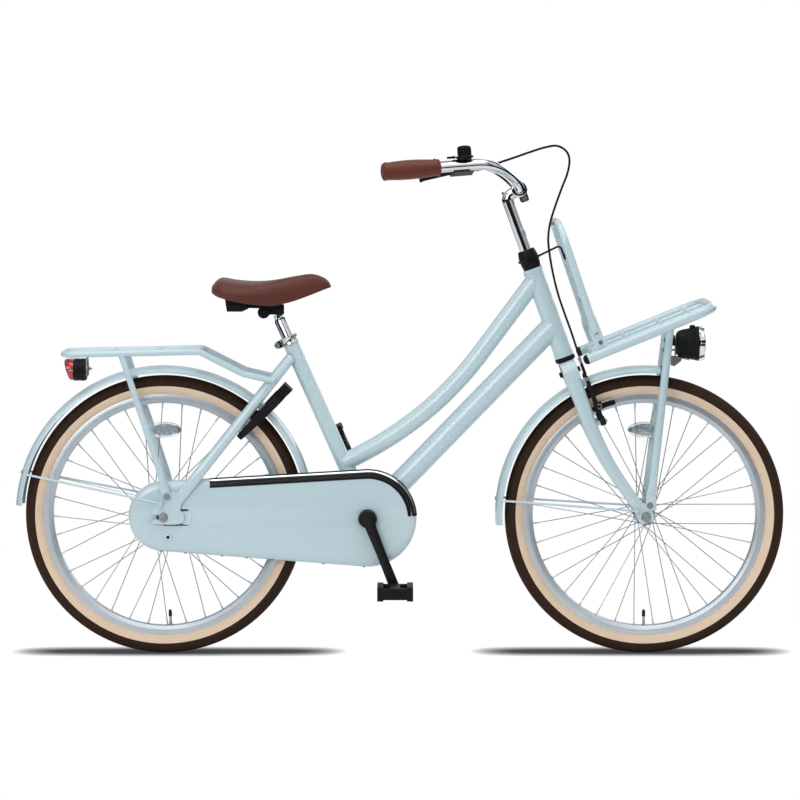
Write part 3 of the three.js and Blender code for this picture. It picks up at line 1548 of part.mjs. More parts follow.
piece(steering, 'headset_cap', headsetCap(), blackPlastic);

const clampCentre = point(stemReach, 0, stemTop + stemClampRadius * 0.7);

function stem() {
  const low = point(0, 0, stemLow);
  const path = rounded([low, point(0, 0, stemTop + stemRadius * 0.3), clampCentre], stemRadius * 0.9);
  const quill = tube(path, stemRadius, 12);
  const half = stemClampWidth / 2;
  const barrel = crossbar(clampCentre.x, clampCentre.z, -half, half, stemClampRadius, 14);
  const lug = block(
    clampCentre.x - stemClampRadius * 0.35,
    clampCentre.x + stemClampRadius * 0.75,
    -stemClampWidth * 0.3,
    stemClampWidth * 0.3,
    clampCentre.z - stemClampRadius * 1.75,
    clampCentre.z - stemClampRadius * 0.6,
  );
  const bore = crossbar(
    clampCentre.x,
    clampCentre.z,
    -stemClampWidth,
    stemClampWidth,
    loose(barRadius),
    12,
  );
  return cut(join(quill, barrel, lug), bore);
}

piece(steering, 'stem', stem(), chrome);

// Handlebar: level in the clamp, then up and back to two straight ends for the grips
const barEnd = point(clampCentre.x - barSweep, barHalfWidth, clampCentre.z + barRise);
const gripDirection = point(-0.924, 0.282, 0.258).normalize();
const gripStart = barEnd.clone().addScaledVector(gripDirection, -gripLength);
const straightStart = gripStart.clone().addScaledVector(gripDirection, -gripLength * 0.68);

function handlebar() {
  const level = clampCentre.clone().setY(stemClampWidth * 0.7);
  const sweep = new THREE.CubicBezierCurve3(
    level,
    point(level.x, barHalfWidth * 0.44, level.z + barRise * 0.06),
    straightStart.clone().addScaledVector(gripDirection, -gripLength * 0.5),
    straightStart,
  );
  const half = [...sweep.getPoints(8), barEnd.clone().addScaledVector(gripDirection, -rimWall * 2)];
  const other = half.map((p) => point(p.x, -p.y, p.z)).reverse();
  return tube([...other, ...half], barRadius, 8);
}

piece(steering, 'handlebar', handlebar(), chrome);

// Everything on a bar end is drawn in that end's own frame: X outwards along the bar, Z towards the lever
const leverLean = point(0.1, 0.88, -0.42);

function barFrame(side) {
  const frame = new THREE.Group();
  const ahead = gripDirection.clone().multiply(point(1, side, 1));
  const inward = point(leverLean.x, -side * leverLean.y, leverLean.z);
  const towards = inward.addScaledVector(ahead, -inward.dot(ahead)).normalize();
  const across = new THREE.Vector3().crossVectors(towards, ahead);
  frame.position.copy(gripStart).multiply(point(1, side, 1));
  frame.quaternion.setFromRotationMatrix(new THREE.Matrix4().makeBasis(ahead, across, towards));
  steering.add(frame);
  return frame;
}

function lengthwise(profile, sides = 12) {
  return turned([...profile, profile[0]], sides).rotateZ(-Math.PI / 2);
}

function grip() {
  const bore = loose(barRadius);
  const wall = gripLength - rimWall;
  return closed(lengthwise([
    [bore, 0], [gripRadius * 0.92, 0], [gripRadius * 0.84, gripLength * 0.06],
    [gripRadius * 0.96, gripLength * 0.32], [gripRadius, gripLength * 0.6],
    [gripRadius * 0.9, gripLength * 0.9], [gripRadius * 0.94, gripLength * 0.97],
    [gripRadius * 0.8, gripLength + rimWall], [0, gripLength + rimWall], [0, wall], [bore, wall],
  ]));
}

const rightEnd = barFrame(-1);
const leftEnd = barFrame(1);
piece(rightEnd, 'grip_right', grip(), brownLeather);
piece(leftEnd, 'grip_left', grip(), brownLeather);

// Brake lever inside the right grip, on a clamp that is open on the outer side and carries the bell too
const leverClampAt = -gripLength * 0.32;
const leverClampWidth = 16;
const leverFront = leverClampAt - leverClampWidth * 2.5;
const leverPivot = point(leverClampAt, 0, gripRadius * 1.4);
const bellAt = -gripLength * 0.47;
const bellRadius = 15.5;
const bellUp = point(0, 0.9, -0.43).normalize();
const bellFloor = barRadius + clampWall * 1.6;

function leverBracket() {
  const bore = loose(barRadius);
  const [from, to] = [bellAt - leverClampWidth * 0.5, leverClampAt + leverClampWidth / 2];
  const band = lengthwise([[bore, from], [bore + clampWall, from], [bore + clampWall, to], [bore, to]]);
  const open = block(from - overrun, to + overrun, -gripRadius, gripRadius, -clampWall, -gripRadius * 2);
  const high = leverPivot.z + leverClampWidth * 0.3;
  const cheeks = [-1, 1].map((side) => block(
    leverClampAt - leverClampWidth * 1.3,
    to,
    side * leverClampWidth * 0.32,
    side * leverClampWidth * 0.5,
    bore + clampWall * 0.3,
    high,
  ));
  const back = block(
    leverFront,
    leverClampAt - leverClampWidth * 1.2,
    -leverClampWidth * 0.5,
    leverClampWidth * 0.5,
    bore + clampWall * 0.3,
    high,
  );
  const base = point(bellAt, 0, 0).addScaledVector(bellUp, bore);
  const seat = rod(base, point(bellAt, 0, 0).addScaledVector(bellUp, bellFloor), bellRadius, 12);
  const barRoom = rod(point(leverFront - overrun, 0, 0), point(to + overrun, 0, 0), bore, 12);
  return cut(join(cut(band, open), ...cheeks, back, seat), barRoom);
}

function brakeLever() {
  const half = leverClampWidth * 0.32 - seatGap;
  const reach = gripLength * 0.56;
  const stations = [[0, 0], [0.2, 0.12], [0.55, 0.5], [0.88, 0.84], [1, 1.15]].map(([share, drop]) => point(
    leverPivot.x + reach * share,
    0,
    leverPivot.z + gripRadius * 1.2 * drop,
  ));
  const outline = [[-1, -0.5], [0, -1], [1, -0.5], [1, 0.5], [0, 1], [-1, 0.5]]
    .map(([x, y]) => new THREE.Vector2(x, y));
  const rings = stations.map((centre) => outline.map((p) => centre.clone()
    .add(point(0, p.x * half, p.y * half * 0.9))));
  const [left, right] = [-half, half].map((y) => leverPivot.clone().setY(y));
  return join(loft(rings, outline), rod(left, right, half * 1.15));
}

function bell() {
  const profile = [
    [0, 0], [bellRadius * 1.2, 0], [bellRadius * 1.2, bellRadius * 0.3], [bellRadius, bellRadius * 0.42],
    [bellRadius * 0.96, bellRadius * 1.1], [bellRadius * 0.66, bellRadius * 1.6], [0, bellRadius * 1.72],
  ];
  return turnedAlong(profile, point(bellAt, 0, 0).addScaledVector(bellUp, bellFloor + seatGap), bellUp, 14);
}

// The bell's thumb lever turns on a small boss beside the bell's rim
const thumbBoss = 3;
const thumbPivot = point(bellAt + bellRadius * 1.2 + thumbBoss + seatGap, 0, 0)
  .addScaledVector(bellUp, bellFloor + seatGap);

function bellLever() {
  const height = thumbBoss * 1.8;
  const tip = thumbPivot.clone().add(point(bellRadius, 0, 0));
  const [low, high] = [thumbPivot, tip].map((p) => p.clone().addScaledVector(bellUp, height / 2));
  return join(
    rod(thumbPivot, thumbPivot.clone().addScaledVector(bellUp, height), thumbBoss, 8),
    rod(low, high, thumbBoss * 0.8, 6),
  );
}

piece(rightEnd, 'brake_lever_bracket', leverBracket(), blackMetal);
piece(rightEnd, 'brake_lever', brakeLever(), blackMetal);
piece(rightEnd, 'bell', bell(), blackPlastic);
piece(rightEnd, 'bell_lever', bellLever(), blackPlastic);

// Rim brake: an arm on each stud in front of the blades, with its pad
const padRadius = 5.5;
const padLength = 58;

function brakeArm(side) {
  const [y, z] = [side * brakePivot.y, brakePivot.z];
  const trackRadius = rimRadius - rimDepth * 0.4;
  const padX = forkRake;
  const front = brakePivot.x + brakeArmDepth / 2;
  const back = brakePivot.x - brakeArmDepth / 2;
  const shape = outlineOf([
    [-0.9, -0.1], [-0.5, -0.13], [0.3, -0.13], [0.85, -0.05], [0.85, 0.3], [0.5, 0.62], [0.45, 0.98],
    [-0.15, 0.98], [-0.3, 0.6], [-0.75, 0.3],
  ].map(([across, up]) => [across * brakeArmDepth, up * brakeArmLength]));
  const plate = new THREE.ExtrudeGeometry(shape, { depth: brakeArmDepth, bevelEnabled: false });
  plate.rotateX(Math.PI / 2).rotateZ(Math.PI / 2).translate(back, 0, 0);
  if (side < 0) plate.scale(1, -1, 1);
  const arm = closed(plate.translate(0, y, z));
  const padY = side * (rimWidth / 2 + rimWall);
  const boltTo = padY + side * padRadius * 0.8;
  const boltX = (front + back) / 2;
  const bolt = rod(point(boltX, boltTo, trackRadius), point(boltX, y, trackRadius), axleRadius * 0.8, 8);
  const pad = block(
    padX - padLength * 0.42,
    padX + padLength * 0.42,
    padY,
    padY + side * padRadius * 1.6,
    trackRadius - padRadius,
    trackRadius + padRadius * 0.9,
  );
  const stud = rod(point(0, y, z), point(front + overrun * 2, y, z), axleRadius + seatGap, 10);
  return cut(join(arm, bolt, pad), stud);
}

piece(steering, 'brake_arm_right', brakeArm(-1), blackMetal);
piece(steering, 'brake_arm_left', brakeArm(1), blackMetal);

// Brake cable from the lever to the right arm, its route chosen by hand in the steering frame
const cableRadius = 2.4;
const cableRoute = [
  [-40, -203, 822], [-25, -197, 820], [-8, -187, 820], [12, -172, 820], [39, -151, 819], [79, -118, 818],
  [111, -90, 816], [136, -66, 810], [151, -46, 793], [152, -36, 773], [139, -30, 748], [117, -27, 722],
  [92, -26, 692], [68, -26, 660], [52, -27, 628], [43, -28, 592], [36, -29, 550], [32, -31, 510],
  [31, -33, 470], [31, -35, 430], [30, -37, 395], [29, -39, 362], [28, -40, 342],
];

function brakeCable() {
  const intoArm = point(brakePivot.x, -brakePivot.y, brakePivot.z + brakeArmLength * 0.98 + seatGap);
  rightEnd.updateMatrix();
  const intoLever = point(leverFront - seatGap * 2, 0, leverPivot.z * 0.9).applyMatrix4(rightEnd.matrix);
  const route = [intoLever, ...cableRoute.map(([x, y, z]) => point(x, y, z)), intoArm];
  const curve = new THREE.CatmullRomCurve3(route);
  return tube(curve.getSpacedPoints(30), cableRadius, 5);
}

piece(steering, 'front_brake_cable', brakeCable(), blackPlastic);

// Front carrier: a looped platform with cross bars, a backrest loop and two legs down to the axle

const deckHeight = frontCarrierPlace;

// The platform and its backrest rise a little more to the front than a square to the steering axis
function onDeck(thing) {
  const turn = new THREE.Matrix4().makeRotationY(-radians(frontCarrierTilt));
  const back = new THREE.Matrix4().makeTranslation(frontCarrierStart, 0, deckHeight);
  const there = new THREE.Matrix4().makeTranslation(-frontCarrierStart, 0, -deckHeight);
  return thing.clone().applyMatrix4(back.multiply(turn).multiply(there));
}

const legFoot = point(forkRake + nutRadius * 1.8, frontHubHalf + dropoutThickness + seatGap, nutRadius * 2.1);
const legTop = onDeck(point(frontCarrierStart + frontCarrierLength * 0.69, frontLegSpread, deckHeight));

// Where the lower bar between the legs crosses the middle; the headlamp hangs on it
const legTie = along(point(legFoot.x, 0, legFoot.z), point(legTop.x, 0, legTop.z), 0.84);

function frontCarrier() {
  const [near, far] = [frontCarrierStart, frontCarrierStart + frontCarrierLength];
  const half = frontCarrierHalf;
  const loop = tube(rounded([
    point(near, -half, deckHeight),
    point(far, -half, deckHeight),
    point(far, half, deckHeight),
    point(near, half, deckHeight),
  ], half * 0.32), carrierTube);
  const crossBars = [0.06, 0.34, 0.62, 0.84].map((share) => crossbar(
    near + frontCarrierLength * share,
    deckHeight,
    -half,
    half,
    carrierTube * 0.62,
    6,
  ));
  const longBars = [-1, 1].map((side) => rod(
    point(near + frontCarrierLength * 0.06, side * frontLegSpread, deckHeight),
    point(far, side * frontLegSpread, deckHeight),
    carrierTube * 0.55,
    6,
  ));
  const legs = [-1, 1].map((side) => {
    const foot = legFoot.clone().multiply(point(1, side, 1));
    const top = legTop.clone().multiply(point(1, side, 1));
    const flatY = side * (legFoot.y + rimWall);
    const stations = [
      point(foot.x, flatY, foot.z - nutRadius * 1.1),
      point(foot.x, flatY, foot.z).lerp(top, 0.05),
      along(point(foot.x, flatY, foot.z), top, 0.14).setY(flatY + side * carrierTube * 0.3),
      along(foot, top, 0.5).setY(flatY),
      top,
    ];
    stations[1].y = flatY;
    return ovalTube(
      stations,
      [carrierTube, carrierTube * 1.05, carrierTube * 0.85, carrierTube * 0.82, carrierTube * 0.82],
      [rimWall, rimWall, carrierTube * 0.7, carrierTube * 0.82, carrierTube * 0.82],
      6,
    );
  });
  const tieHalf = frontLegSpread + carrierTube * 0.2;
  const tie = crossbar(legTie.x, legTie.z, -tieHalf, tieHalf, carrierTube * 0.5, 6);
  const plugs = [-1, 1].map((side) => rod(
    point(near, side * half, deckHeight),
    point(near - carrierTube, side * half, deckHeight),
    carrierTube * 0.96,
    8,
    carrierTube * 0.5,
  ));
  return join(...[loop, ...crossBars, ...longBars, ...plugs].map(onDeck), ...legs, tie);
}

piece(steering, 'front_carrier', frontCarrier(), paint);

const backrestLow = deckHeight + carrierTube + seatGap;
const backrestFoot = frontCarrierStart + carrierTube * 3.4;
const backrestLean = carrierTube * 1.4;
const backrestRail = (share) => point(
  backrestFoot + backrestLean * share,
  0,
  backrestLow + (deckHeight + backrestHeight - backrestLow) * share,
);

function backrest() {
  const low = backrestLow;
  const high = deckHeight + backrestHeight;
  const half = frontCarrierHalf;
  const foot = backrestFoot;
  const lean = backrestLean;
  const loop = tube(rounded([
    point(foot, -half, low + backrestHeight * 0.12),
    point(foot + lean, -half, high),
    point(foot + lean, half, high),
    point(foot, half, low + backrestHeight * 0.12),
  ], half * 0.34), backrestTube);
  const plates = [-1, 1].map((side) => ovalTube(
    [
      point(foot, side * half, low),
      point(foot, side * half, low + backrestHeight * 0.14),
      point(foot + lean * 0.3, side * half, low + backrestHeight * 0.24),
    ],
    [backrestTube * 1.5, backrestTube * 1.4, backrestTube * 0.9],
    [rimWall * 1.5, rimWall * 1.5, backrestTube * 0.9],
  ));
  const rails = backrestRailShares.map((share) => {
    const { x, z } = backrestRail(share);
    return crossbar(x, z, -half, half, backrestTube * 0.62, 6);
  });
  return onDeck(join(loop, ...plates, ...rails));
}

piece(steering, 'front_carrier_backrest', backrest(), paint);

// Wire bracket from the headset cap to the backrest's lower rail
const braceWire = 2.6;

function capBracket() {
  const low = capLow + headsetCapHeight * 0.5;
  const rail = onDeck(backrestRail(backrestRailShares[1]));
  const target = rail.x - backrestTube * 0.62 - braceWire + seatGap;
  const start = headsetCapRadius * 1.06 + seatGap + braceWire * 0.6;
  return join(
    tube(rounded([
      point(start, 0, low),
      point(target, 0, low + braceWire * 2),
      point(target, 0, rail.z - braceWire * 4),
    ], braceWire * 2.5, 2), braceWire, 6),
    ringPlate(low),
  );
}

// The bracket's flat eye lies round the cap
function ringPlate(z) {
  const inner = headsetCapRadius * 1.04 + seatGap;
  const outer = inner + rimWall * 1.5;
  return ring(inner, outer, -braceWire, braceWire, 16).rotateX(Math.PI / 2).translate(0, 0, z);
}

piece(steering, 'carrier_bracket', capBracket(), blackMetal);

// Headlamp between the carrier's legs, level when the bike stands: housing, lens and its bracket
const headlamp = new THREE.Group();
headlamp.position.set(legTie.x + carrierTube * 2.4, 0, legTie.z + carrierTube * 0.5);
headlamp.rotation.y = radians(headAngle);
steering.add(headlamp);

function facingAhead(profile, sides = 16) {
  return closed(turned([...profile, profile[0]], sides).rotateZ(-Math.PI / 2));
}

function lampHousing() {
  return facingAhead([
    [0, 0], [lampRadius * 0.62, 0], [lampRadius * 0.74, lampDepth * 0.1], [lampRadius, lampDepth],
    [lampRadius * 0.93, lampDepth], [lampRadius * 0.78, lampDepth * 0.42], [0, lampDepth * 0.36],
  ]);
}

function lampGlass() {
  return facingAhead([
    [0, lampDepth * 0.38], [lampRadius * 0.3, lampDepth * 0.4], [lampRadius * 0.75, lampDepth * 0.46],
    [lampRadius * 0.91, lampDepth + seatGap], [lampRadius * 0.99, lampDepth + seatGap],
    [lampRadius * 0.96, lampDepth * 1.22], [lampRadius * 0.5, lampDepth * 1.28], [0, lampDepth * 1.3],
  ]);
}

piece(headlamp, 'headlamp_housing', lampHousing(), blackPlastic);
piece(headlamp, 'headlamp_lens', lampGlass(), clearLens);

// The lamp's bracket: a band round the carrier's lower bar, a strap behind the lamp and a foot under it
const lampTie = legTie.clone().sub(headlamp.position).applyAxisAngle(point(0, 1, 0), -radians(headAngle));
const lampTieRadius = carrierTube * 0.5;

function lampBracket() {
  const wall = rimWall;
  const half = carrierTube * 0.9;
  const ringRadius = lampTieRadius + seatGap + wall;
  const [heel, toe] = [0.74, 0.89].map((share) => -lampRadius * share - 2 * seatGap);
  const strap = sidePlate(outlineOf([
    [-seatGap - wall, lampRadius * 0.3], [-seatGap, lampRadius * 0.3], [-seatGap, heel],
    [lampDepth * 0.1, heel], [lampDepth * 0.6, toe], [lampDepth * 0.6, toe - wall],
    [lampDepth * 0.1, heel - wall], [-seatGap - wall, heel - wall],
  ]), -half, half);
  const band = crossbar(lampTie.x, lampTie.z, -half * 0.8, half * 0.8, ringRadius);
  const neckEnd = -seatGap - wall / 2;
  const neck = block(lampTie.x, neckEnd, -half * 0.8, half * 0.8, lampTie.z - wall, lampTie.z + wall);
  const room = crossbar(lampTie.x, lampTie.z, -half * 2, half * 2, loose(lampTieRadius));
  return cut(join(strap, band, neck), room);
}

piece(headlamp, 'headlamp_bracket', lampBracket(), steel);

export default bike;
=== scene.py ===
# %% [markdown]
# This lesson dresses a city bicycle for a studio picture. The frame file gives every bar, wheel and
# bolt as a plain faceted solid in its true place. Each cell takes one real piece, says what it is made
# of and how a maker forms it, and builds it with the method that fits: a swept bar, a turned profile,
# a bent sheet or a moulded cushion.

# %% Load the frame and keep its size
import json
import math
import bmesh
import bpy
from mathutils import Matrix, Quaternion, Vector
from mathutils.geometry import tessellate_polygon


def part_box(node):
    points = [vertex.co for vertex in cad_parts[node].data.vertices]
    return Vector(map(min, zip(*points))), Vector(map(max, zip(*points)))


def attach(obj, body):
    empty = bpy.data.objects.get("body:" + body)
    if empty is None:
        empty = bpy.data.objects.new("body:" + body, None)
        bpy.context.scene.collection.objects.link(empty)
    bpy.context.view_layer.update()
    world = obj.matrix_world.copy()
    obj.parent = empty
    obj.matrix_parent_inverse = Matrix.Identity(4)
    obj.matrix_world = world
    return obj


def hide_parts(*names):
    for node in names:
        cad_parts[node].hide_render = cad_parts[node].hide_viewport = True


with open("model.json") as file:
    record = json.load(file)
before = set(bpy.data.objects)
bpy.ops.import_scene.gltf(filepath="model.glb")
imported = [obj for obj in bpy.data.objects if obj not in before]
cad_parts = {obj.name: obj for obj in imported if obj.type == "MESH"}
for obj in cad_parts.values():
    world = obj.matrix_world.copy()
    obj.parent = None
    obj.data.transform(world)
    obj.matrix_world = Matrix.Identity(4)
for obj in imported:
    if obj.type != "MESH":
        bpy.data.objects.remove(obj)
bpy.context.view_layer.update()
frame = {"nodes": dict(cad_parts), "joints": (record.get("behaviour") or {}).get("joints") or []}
joints = {row["name"]: row for row in frame["joints"]}

# %% [markdown]
# The bicycle hangs on a few lines: the two axles, the crank, the seat tube and the steering axis. They
# come from the joints, so that what is drawn here sits where the moving parts really turn.

# %% Main places
mm = 0.001
rear_axle = Vector(joints["rear_wheel_spin"]["pos_m"])
front_axle = Vector(joints["front_wheel_spin"]["pos_m"])
crank_centre = Vector(joints["crank_spin"]["pos_m"])
seat_up = Vector(joints["saddle_height"]["axis"])
steer_up = Vector(joints["steering"]["axis"])
across = Vector((0, 1, 0))
steer_ahead = across.cross(steer_up).normalized()
fork_rake = 46 * mm
steer_foot = front_axle - steer_ahead * fork_rake


def up_seat(distance):
    """A place on the seat tube's axis, measured from the crank."""
    return crank_centre + seat_up * distance


def at_steering(ahead, side, up):
    """A place in the steering's own frame, square to the steering axis."""
    return steer_foot + steer_ahead * ahead + across * side + steer_up * up


def at_rear(x, y, z):
    """A place measured from the rear axle."""
    return rear_axle + Vector((x, y, z))


print("wheelbase:", round((front_axle - rear_axle).length, 4))

# %% [markdown]
# The camera stands level with the handlebar, seven metres off the bicycle's right side, with a long lens,
# as a catalogue photographer would. A small shift and a slight downward tilt put the bicycle low in
# the square picture.

# %% Camera
photo_size = 800
photo_scale = 2.149 * mm
middle_column = 400.0
ground_row = 654.6
camera_distance = 7.0
camera_height = 1.08
lens_shift = -0.08
sensor = 36.0

picture_width = photo_size * photo_scale
aim_x = (photo_size / 2 - middle_column) * photo_scale
aim_z = (ground_row - photo_size / 2) * photo_scale
tilt = math.atan((camera_height - aim_z + lens_shift * picture_width) / camera_distance)

camera_data = bpy.data.cameras.new("photographer")
camera_data.sensor_width = sensor
camera_data.lens = sensor * camera_distance / math.cos(tilt) / picture_width
camera_data.shift_y = lens_shift
camera_data.clip_end = 100
camera = bpy.data.objects.new("photographer", camera_data)
camera.location = (aim_x, -camera_distance, camera_height)
camera.rotation_euler = (math.pi / 2 - tilt, 0, 0)
bpy.context.scene.collection.objects.link(camera)
bpy.context.scene.camera = camera
print("lens:", round(camera_data.lens, 1), "tilt:", round(math.degrees(tilt), 2))

# %% [markdown]
# A finish is a small graph of shader nodes. Written as plain expressions it stays readable, so one
# class wraps a socket and lets numbers and sockets be added and multiplied, or the larger one be taken.
# A second class owns the material and adds every other kind of node.

# %% Shader expressions
class Wire:
    """A socket that takes part in sums."""

    def __init__(self, finish, socket):
        self.finish = finish
        self.socket = socket

    def math(self, operation, first, second):
        return self.finish.add("ShaderNodeMath", {"operation": operation}, {0: first, 1: second})

    def __add__(self, other):
        return self.math("ADD", self, other)

    def __radd__(self, other):
        return self.math("ADD", other, self)

    def __sub__(self, other):
        return self.math("SUBTRACT", self, other)

    def __rsub__(self, other):
        return self.math("SUBTRACT", other, self)

    def __mul__(self, other):
        return self.math("MULTIPLY", self, other)

    def __rmul__(self, other):
        return self.math("MULTIPLY", other, self)

    def __truediv__(self, other):
        return self.math("DIVIDE", self, other)

    def __pow__(self, other):
        return self.math("POWER", self, other)

    def larger(self, other):
        return self.math("MAXIMUM", self, other)


def tint(red, green, blue):
    """A colour as it is seen on a screen, 0 to 255, turned into light."""
    def light(value):
        share = value / 255
        return share / 12.92 if share <= 0.04045 else ((share + 0.055) / 1.055) ** 2.4

    return (light(red), light(green), light(blue), 1)


class Finish:
    """One material and the nodes that make it."""

    def __init__(self, name, **sockets):
        self.material = bpy.data.materials.new(name)
        self.material.use_nodes = True
        self.nodes = self.material.node_tree.nodes
        self.links = self.material.node_tree.links
        self.shader = self.nodes["Principled BSDF"]
        for socket, value in sockets.items():
            self.set(self.shader.inputs[socket.replace("_", " ")], value)

    def set(self, socket, value):
        if isinstance(value, Wire):
            self.links.new(value.socket, socket)
        else:
            socket.default_value = value

    def add(self, kind, settings=None, sockets=None, output=0):
        node = self.nodes.new(kind)
        for name, value in (settings or {}).items():
            if name == "stops":
                ramp = node.color_ramp.elements
                while len(ramp) < len(value):
                    ramp.new(0.5)
                for stop, (place, colour) in zip(ramp, value):
                    stop.position = place
                    stop.color = colour
            else:
                setattr(node, name, value)
        for key, value in (sockets or {}).items():
            self.set(node.inputs[key], value)
        return Wire(self, node.outputs[output])

    def place(self):
        return self.add("ShaderNodeTexCoord", output="Object")

    def noise(self, scale, detail=4.0, vector=None, roughness=0.5):
        sockets = {"Scale": scale, "Detail": detail, "Roughness": roughness}
        sockets["Vector"] = vector or self.place()
        return self.add("ShaderNodeTexNoise", None, sockets)

    def cells(self, scale, vector=None, feature="F1", output="Distance"):
        sockets = {"Scale": scale, "Vector": vector or self.place()}
        return self.add("ShaderNodeTexVoronoi", {"feature": feature}, sockets, output)

    def stretched(self, x, y, z):
        return self.add(
            "ShaderNodeVectorMath", {"operation": "MULTIPLY"}, {0: self.place(), 1: (x, y, z)}
        )

    def mix(self, share, first, second):
        return self.add(
            "ShaderNodeMix", {"data_type": "RGBA"}, {0: share, 6: first, 7: second}, 2
        )

    def bump(self, height, strength, distance):
        sockets = {"Height": height, "Strength": strength, "Distance": distance}
        self.set(self.shader.inputs["Normal"], self.add("ShaderNodeBump", None, sockets))

    def varied(self, colour, other, share):
        self.set(self.shader.inputs["Base Color"], self.mix(share, colour, other))

    def rough(self, value):
        self.set(self.shader.inputs["Roughness"], value)


def coated(name, colour, deep, cloud, shine, relief, **sockets):
    """A finish in which colour, roughness and relief each vary a little with their own noise.

    cloud is that noise's scale and detail for the colour. shine is the lowest roughness and how much is
    added, then a scale and a detail. relief is a strength and a depth, then a scale and a detail.
    """
    finish = Finish(name, **sockets)
    finish.varied(colour, deep, finish.noise(*cloud))
    lowest, amount, *dust = shine
    finish.rough(lowest + finish.noise(*dust) * amount)
    strength, depth, *grain = relief
    finish.bump(finish.noise(*grain), strength, depth)
    return finish.material


# %% [markdown]
# Gloss enamel on steel: a pale blue-green colour coat under a hard clear coat. The clear coat gives
# the sharp highlight, and a very fine orange peel, with a trace of dust in its roughness, keeps it from
# looking like plastic.

# %% Enamel
paint = coated(
    "enamel", tint(199, 218, 223), tint(190, 213, 219), (5.0, 3.0), (0.3, 0.04, 60.0, 6.0),
    (0.008, 0.1 * mm, 420.0, 2.0), Coat_Weight=0.55, Coat_Roughness=0.06, Specular_IOR_Level=0.5,
)

# %% [markdown]
# Metals differ mostly in how their surface scatters light. Chrome plating is almost a mirror with
# faint wiping marks, zinc plated steel is cloudy, and the anodised rims are satin, with fine rings from
# the lathe.

# %% Metals
def satin_alloy():
    finish = Finish("satin_alloy", Metallic=0.85)
    fine = finish.noise(900.0, 4.0, finish.stretched(1.0, 0.15, 1.0))
    finish.varied(tint(200, 208, 214), tint(176, 185, 192), finish.noise(14.0, 4.0))
    finish.rough(0.3 + fine * 0.16)
    finish.bump(fine, 0.06, 0.1 * mm)
    return finish.material


chrome = coated(
    "bright_plating", tint(226, 228, 231), tint(205, 207, 211), (30.0, 5.0), (0.07, 0.06, 90.0, 6.0),
    (0.01, 0.1 * mm, 40.0, 2.0), Metallic=1.0,
)
steel = coated(
    "zinc_plating", tint(182, 186, 188), tint(140, 143, 146), (120.0, 6.0), (0.28, 0.2, 200.0, 4.0),
    (0.1, 0.1 * mm, 500.0, 3.0), Metallic=1.0,
)
alloy = satin_alloy()

# %% [markdown]
# The small black pieces are two things: moulded plastic with a fine eroded grain, and steel with
# a satin black coat that is smoother and catches a longer highlight.

# %% Black pieces
def moulded_black():
    finish = Finish("moulded_black", Specular_IOR_Level=0.14)
    finish.varied(tint(15, 15, 16), tint(25, 25, 26), finish.noise(80.0, 5.0))
    finish.rough(0.4 + finish.noise(150.0, 5.0) * 0.18)
    finish.bump(finish.cells(900.0), 0.12, 0.1 * mm)
    return finish.material


black = moulded_black()
black_steel = coated(
    "satin_black", tint(11, 11, 12), tint(20, 20, 21), (60.0, 5.0), (0.3, 0.15, 130.0, 4.0),
    (0.06, 0.1 * mm, 350.0, 3.0), Coat_Weight=0.12, Coat_Roughness=0.15, Specular_IOR_Level=0.18,
)

# %% [markdown]
# The tyre has two rubbers: a dull brown tread and cream sidewalls. Under the thin cream skin the
# threads of the casing show as fine lines.

# %% Rubber
def cream_rubber():
    finish = Finish("cream_rubber", Specular_IOR_Level=0.35)
    finish.varied(tint(238, 213, 187), tint(226, 199, 171), finish.noise(26.0, 6.0))
    finish.rough(0.62 + finish.noise(90.0, 4.0) * 0.15)
    finish.bump(finish.noise(1100.0, 2.0, finish.stretched(1.0, 0.3, 1.0)), 0.12, 0.1 * mm)
    return finish.material


tread = coated(
    "tread_rubber", tint(58, 37, 26), tint(43, 28, 20), (45.0, 6.0), (0.78, 0.15, 120.0, 4.0),
    (0.25, 0.15 * mm, 700.0, 4.0), Specular_IOR_Level=0.2,
)
cream = cream_rubber()

# %% [markdown]
# Saddle and grips are covered in brown grained synthetic leather. Grain is a web of small cells with
# valleys between them: a cell pattern drives the bump, and the same pattern darkens the valleys a little.

# %% Leather
def grained(name, colour, deep, grain):
    finish = Finish(name, Specular_IOR_Level=0.25, Sheen_Weight=0.08)
    valleys = finish.cells(grain, feature="DISTANCE_TO_EDGE")
    worn = finish.noise(18.0, 5.0)
    share = (1 - valleys * 2.2) * 0.35 + worn * 0.4
    finish.varied(colour, deep, share)
    finish.rough(0.4 + worn * 0.16)
    finish.bump(valleys + finish.noise(grain * 1.7, 3.0) * 0.3, 0.35, 0.25 * mm)
    return finish.material


saddle_leather = grained("saddle_leather", tint(104, 54, 41), tint(72, 36, 28), 520.0)
grip_leather = grained("grip_leather", tint(114, 55, 37), tint(80, 37, 25), 600.0)
thread = coated(
    "sewing_thread", tint(98, 50, 34), tint(70, 36, 26), (900.0, 2.0), (0.7, 0.15, 700.0, 2.0),
    (0.3, 0.1 * mm, 2400.0, 2.0), Specular_IOR_Level=0.3, Sheen_Weight=0.2,
)

# %% [markdown]
# Lenses and reflectors are clear or coloured plastic with a pattern of small prisms on the back,
# which is what sparkles. A sharp cell pattern in the normal stands for those prisms, and the same cells
# are painted lighter and darker in colour: a painted sparkle for the light the prisms throw back.

# %% Lenses
def prism_lens(name, colour, deep, grain, **sockets):
    finish = Finish(name, Coat_Weight=1.0, Coat_Roughness=0.03, **sockets)
    # Each prism cell is painted lighter or darker: painted sparkle, not a colour of the plastic.
    painted_sparkle_cells = finish.cells(grain, output="Color")
    level = finish.add("ShaderNodeSeparateColor", None, {0: painted_sparkle_cells})
    finish.varied(colour, deep, level)
    finish.rough(0.12 + level * 0.2)
    finish.bump(finish.cells(grain), 0.6, 0.4 * mm)
    return finish.material


